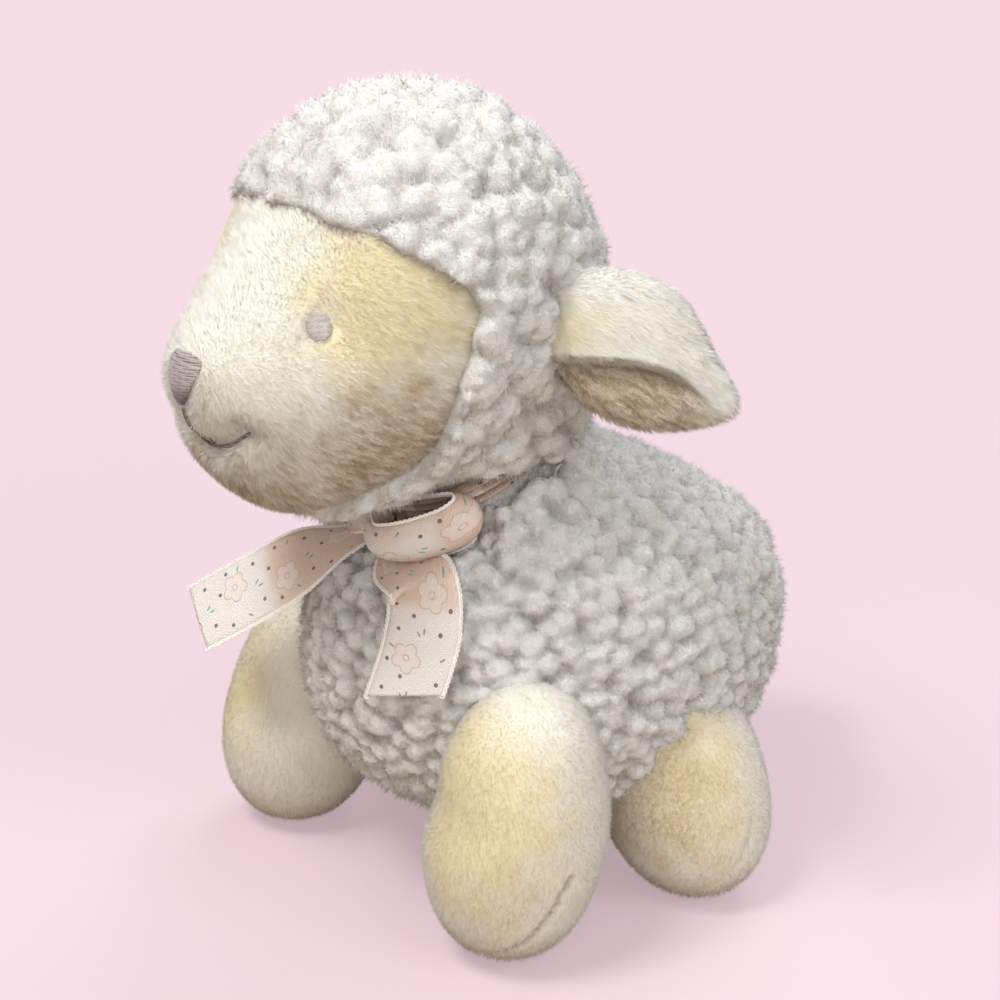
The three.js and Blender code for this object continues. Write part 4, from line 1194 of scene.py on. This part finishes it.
# A strip of ribbon through stops: place, the way its width lies, and that width.
# It lies on body, and its edges carry picots; slant is how far its cut end leans,
# and sheenAt is where along it the painted sheen starts and is full, and how narrow it is
def ribbonStrip(name, body, stops, cup=0.0, steps=10, lanes=12, pleats=0, pleatDepth=0.0, slant=0.0, picots=True,
                sheenAt=(2.0, 3.0, 0.0)):
    places = splinePoints([s[0] for s in stops], steps)
    ways = splinePoints([s[1] for s in stops], steps)
    widths = splinePoints([(s[2], 0) for s in stops], steps)[:, 0]
    tangents = np.gradient(places, axis=0)
    tangents /= lengthsOf(tangents)[:, None]
    ways = freeOf(ways, tangents)
    ways /= lengthsOf(ways)[:, None]
    out = np.cross(tangents, ways)
    length = np.concatenate([[0], np.cumsum(lengthsOf(np.diff(places, axis=0)))])
    cutShare = smoothStep(length[-1] - ribbon["width"], length[-1], length)
    points, uvs, sheen, fold = [], [], [], []
    bright = smoothStep(sheenAt[0], sheenAt[1], length / length[-1])
    for k in range(len(places)):
        for j in range(lanes + 1):
            w = -1 + 2 * j / lanes
            rise = cup * (1 - w * w) + pleatDepth * math.cos(math.pi * pleats * w)
            lean = slant * w * cutShare[k]
            points.append(places[k] + ways[k] * w * widths[k] / 2 + out[k] * rise + tangents[k] * lean)
            uvs.append((w * ribbon["width"] / 2, length[k] + lean))
            sheen.append(bright[k] * math.exp(-(sheenAt[2] * (w - 0.1)) ** 2))
            # Painted shade: darkest in the pleats' valleys, and over the whole of a pleated strip
            fold.append(pleats and 0.75 - 0.25 * math.cos(math.pi * pleats * w))
    faces = []
    for k in range(len(places) - 1):
        for j in range(lanes):
            a = k * (lanes + 1) + j
            faces.append((a, a + 1, a + lanes + 2, a + lanes + 1))
    piece = newPiece(name, points, faces)
    giveValues(piece, "sheen", sheen)
    giveValues(piece, "fold", np.array(fold, float))
    giveMap(piece, uvs)
    thick = piece.modifiers.new("thickness", "SOLIDIFY")
    thick.thickness = ribbon["thickness"] * mm
    thick.offset = 0
    piece.data.materials.append(satin)
    settle(piece, body)
    edging = [edgeOf(name, body, points, out, lanes, len(places))] if picots else []
    return piece, length[-1], edging


def edgeOf(name, body, points, out, lanes, rows):
    places, ways, edges = [], [], []
    for lane in (0, lanes):
        for k in range(rows):
            if k:
                edges.append((len(places) - 1, len(places)))
            places.append(points[k * (lanes + 1) + lane])
            ways.append(out[k])
    lines = newObject(name + "_edges", (np.array(places) * mm).tolist(), edges, [])
    giveValues(lines, "flatWay", ways)
    picots = inMetres(ribbon["picots"], ribbon["picots"])
    piece = grownPiece(name.replace("_ribbon", "_picots"), lines, picotTree, picots, edgeThread)
    bpy.data.objects.remove(lines)
    return settle(piece, body)


def makeRibbon():
    # Round the neck
    radius = ribbon["collarInside"] + ribbon["collarOut"]
    stops = []
    for k in range(ribbon["collarTurns"] + 1):
        angle = 2 * math.pi * k / ribbon["collarTurns"]
        at = neckPoint(radius * math.sin(angle), radius * math.cos(angle), 0)
        stops.append((at, alongNeck, ribbon["collarWidth"]))
    collar, length, _ = ribbonStrip("collar_ribbon", "torso", stops, steps=2, lanes=24, picots=False,
                                    pleats=ribbon["collarPleats"], pleatDepth=ribbon["pleatDepth"])
    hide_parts("neck_ribbon")
    # Loops: out from the knot and forward of it, as shares of their reach and half depth
    loopShares = [(0, -0.35), (0.25, -0.95), (0.6, -1.25), (0.88, -1.35), (1, -0.75),
                  (0.93, 0), (0.62, 0.75), (0.27, 0.95), (0, 0.35)]
    for side, sign in (("left", 1), ("right", -1)):
        stops = []
        for out, forward in loopShares:
            curl = ribbon["loopCurl"] * ribbon["loopReach"] * out**2
            at = neckPoint(sign * (ribbon["knotHalf"] + out * ribbon["loopReach"]),
                           ribbon["knotForward"] + forward * ribbon["loopHalfDepth"] - curl, -ribbon["loopDrop"])
            narrow = ribbon["loopWidth"] * (0.7 + 0.3 * smoothStep(0, 0.5, out))
            stops.append((at, alongNeck * sign, narrow))
        loop, length, edging = ribbonStrip(f"bow_loop_{side}_ribbon", "torso", stops, cup=-ribbon["loopCup"] * sign,
                                            sheenAt=(0.54, 0.62, 1.5))
        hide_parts(f"bow_loop_{side}")
    # Ends: left, forward and down from under the knot, the share of the width and
    # how far the strip has turned to its last direction
    root = neckPoint(0, ribbon["knotForward"], -ribbon["endDrop"])
    underKnot = np.array((1.0, 0, 0)) * 0.5 + aheadOfNeck * -0.86
    ends = {
        "left": (ribbon["leftEndDrop"], underKnot, np.array((0.82, 0.5, 0.28)), 4.0, [
            (0.15, 0, 0, 0.3, 0), (0.4, 0.175, 0.1, 0.6, 0.2), (0.79, 0.21, 0.1, 0.9, 0.6),
            (0.89, 0.25, 0.37, 1, 0.95), (0.88, 0.31, 0.66, 1, 1), (0.84, 0.42, 1, 1, 1),
        ]),
        "right": (ribbon["rightEndReach"], -(underKnot * (-1, 1, 1)), np.array((0.75, -0.21, -0.63)), 0.8, [
            (-0.08, 0, 0, 0.3, 0), (-0.17, 0.11, 0.06, 0.55, 0.4), (-0.3, 0.235, 0.155, 0.95, 0.8),
            (-0.49, 0.385, 0.315, 1, 1), (-0.7, 0.545, 0.485, 1, 1),
        ]),
    }
    for side, (reach, startWay, endWay, slant, rows) in ends.items():
        stops = []
        for left, forward, down, wide, turn in rows:
            at = root + np.array((left, -forward, -down)) * reach
            stops.append((at, startWay + (endWay - startWay) * turn, wide * ribbon["width"]))
        name = f"bow_tail_{side}"
        end, length, edging = ribbonStrip(name + "_ribbon", name, stops, cup=ribbon["endCup"], slant=-slant,
                                           sheenAt=(0.5, 0.61, 0.3))
        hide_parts(name)
    # Knot: a tight wrap of the ribbon, with pleats across it
    ball, faces = ballOf(ribbon["knotCuts"])
    spin = np.arctan2(ball[:, 1], ball[:, 2])
    pleat = 0.08 * np.cos(9 * ball[:, 0] + 1.4 * np.sin(spin)) - 0.1 * ball[:, 0] ** 2
    points = ball * (1 + pleat)[:, None] * ribbon["knotHalf"]
    points = points @ turnTo(neckAxis).T + neckPoint(0, ribbon["knotForward"], -ribbon["knotDrop"])
    knot = newPiece("bow_knot_ribbon", points, faces)
    giveMap(knot, np.stack([ball[:, 0], spin], axis=1) * ribbon["knotHalf"])
    knot.data.materials.append(satin)
    settle(knot, "torso", ["bow_knot"])
    print("ribbon done")


makeRibbon()


# The way to a place that lies so far round from the front and so high
def wayTo(azimuth, elevation):
    a, e = math.radians(azimuth), math.radians(elevation)
    return Vector((math.sin(a) * math.cos(e), -math.cos(a) * math.cos(e), math.sin(e)))


# Stands a camera or a lamp at a place
def standAt(data, place, turn):
    thing = bpy.data.objects.new(data.name, data)
    scene.collection.objects.link(thing)
    thing.location = place
    thing.rotation_mode = "QUATERNION"
    thing.rotation_quaternion = turn
    return thing


# Camera, where the photograph was taken from
camera = {"azimuth": 52.5, "elevation": 20, "distance": 465, "target": (1, 0, 92), "lens": 70.9, "film": 36}


def makeCamera():
    data = bpy.data.cameras.new("camera")
    data.sensor_width = camera["film"]
    data.lens = camera["lens"]
    target = Vector(camera["target"]) * mm + Vector((0, feetShift, 0))
    back = wayTo(camera["azimuth"], camera["elevation"])
    scene.camera = standAt(data, target + back * camera["distance"] * mm, (-back).to_track_quat("-Z", "Y"))


makeCamera()


def makeLamp(name, azimuth, elevation, distance, size, power, colour):
    data = bpy.data.lights.new(name, "AREA")
    data.energy = power
    data.color = colour
    data.size = size
    back = wayTo(azimuth, elevation)
    standAt(data, Vector(stage["lampTarget"]) + back * distance, back.to_track_quat("Z", "Y"))


# Lamps: azimuth and elevation, distance, size, power and colour. The floor and the
# backdrop are pale pink to the eye alone, and light the toy in duller tones
stage = {
    "pale": (0.93, 0.723, 0.791, 1), "nearPale": (0.74, 0.577, 0.631, 1), "bounce": (0.5, 0.4, 0.32, 1),
    "sky": (0.92, 0.93, 0.95, 1), "skyStrength": 0.2, "floorHalf": 6, "nearRadius": 0.08, "farRadius": 0.42,
    "nearGlow": 0.45, "lampTarget": (0, 0, 0.09),
    "lamps": {
        "key": (0, 60, 0.9, 0.3, 6.2, (1, 0.985, 0.95)),
        "fill": (98, 36, 1.2, 0.8, 5.7, (0.94, 0.965, 1)),
        "front": (48, 20, 1.2, 0.8, 4.2, (1, 0.985, 0.96)),
        "back": (205, 45, 1.2, 0.8, 7.5, (0.96, 0.97, 1)),
    },
}


# Rays that show the pale background: the camera's, and those off metal and through glass
def seenRays(tree):
    rays = addNode(tree, "ShaderNodeLightPath").outputs
    mirrored = mathNode(tree, "MAXIMUM", rays["Is Glossy Ray"], rays["Is Transmission Ray"])
    return mathNode(tree, "MAXIMUM", rays["Is Camera Ray"], mirrored)


def makeStage():
    for name, values in stage["lamps"].items():
        makeLamp(name, *values)
    world = bpy.data.worlds.new("studio")
    scene.world = world
    world.use_nodes = True
    tree = world.node_tree
    ray = seenRays(tree)
    feed(tree, tree.nodes["Background"], {
        "Color": mixColours(tree, ray, stage["sky"], stage["pale"]),
        "Strength": rangeNode(tree, ray, 0.0, 1.0, stage["skyStrength"]),
    })
    half = stage["floorHalf"]
    corners = [(-half, -half, 0), (half, -half, 0), (half, half, 0), (-half, half, 0)]
    floor = newObject("floor", corners, [], [(0, 1, 2, 3)])
    material, tree, surface = newFinish("pale_floor")
    away = vectorNode(tree, "LENGTH", objectPlace(tree), out=1)
    far = rangeNode(tree, away, stage["nearRadius"], stage["farRadius"], stage["nearGlow"], 1.0, "SMOOTHSTEP")
    ray = seenRays(tree)
    seen = mixColours(tree, ray, stage["bounce"], stage["nearPale"])
    feed(tree, surface, {"Base Color": seen, "Roughness": 0.9})
    glow = addNode(tree, "ShaderNodeEmission", {"Color": stage["pale"], "Strength": 1.0})
    mix = addNode(tree, "ShaderNodeMixShader", {
        0: mathNode(tree, "MULTIPLY", far, ray), 1: surface.outputs[0], 2: glow.outputs[0],
    })
    tree.links.new(mix.outputs[0], tree.nodes["Material Output"].inputs["Surface"])
    floor.data.materials.append(material)


makeStage()
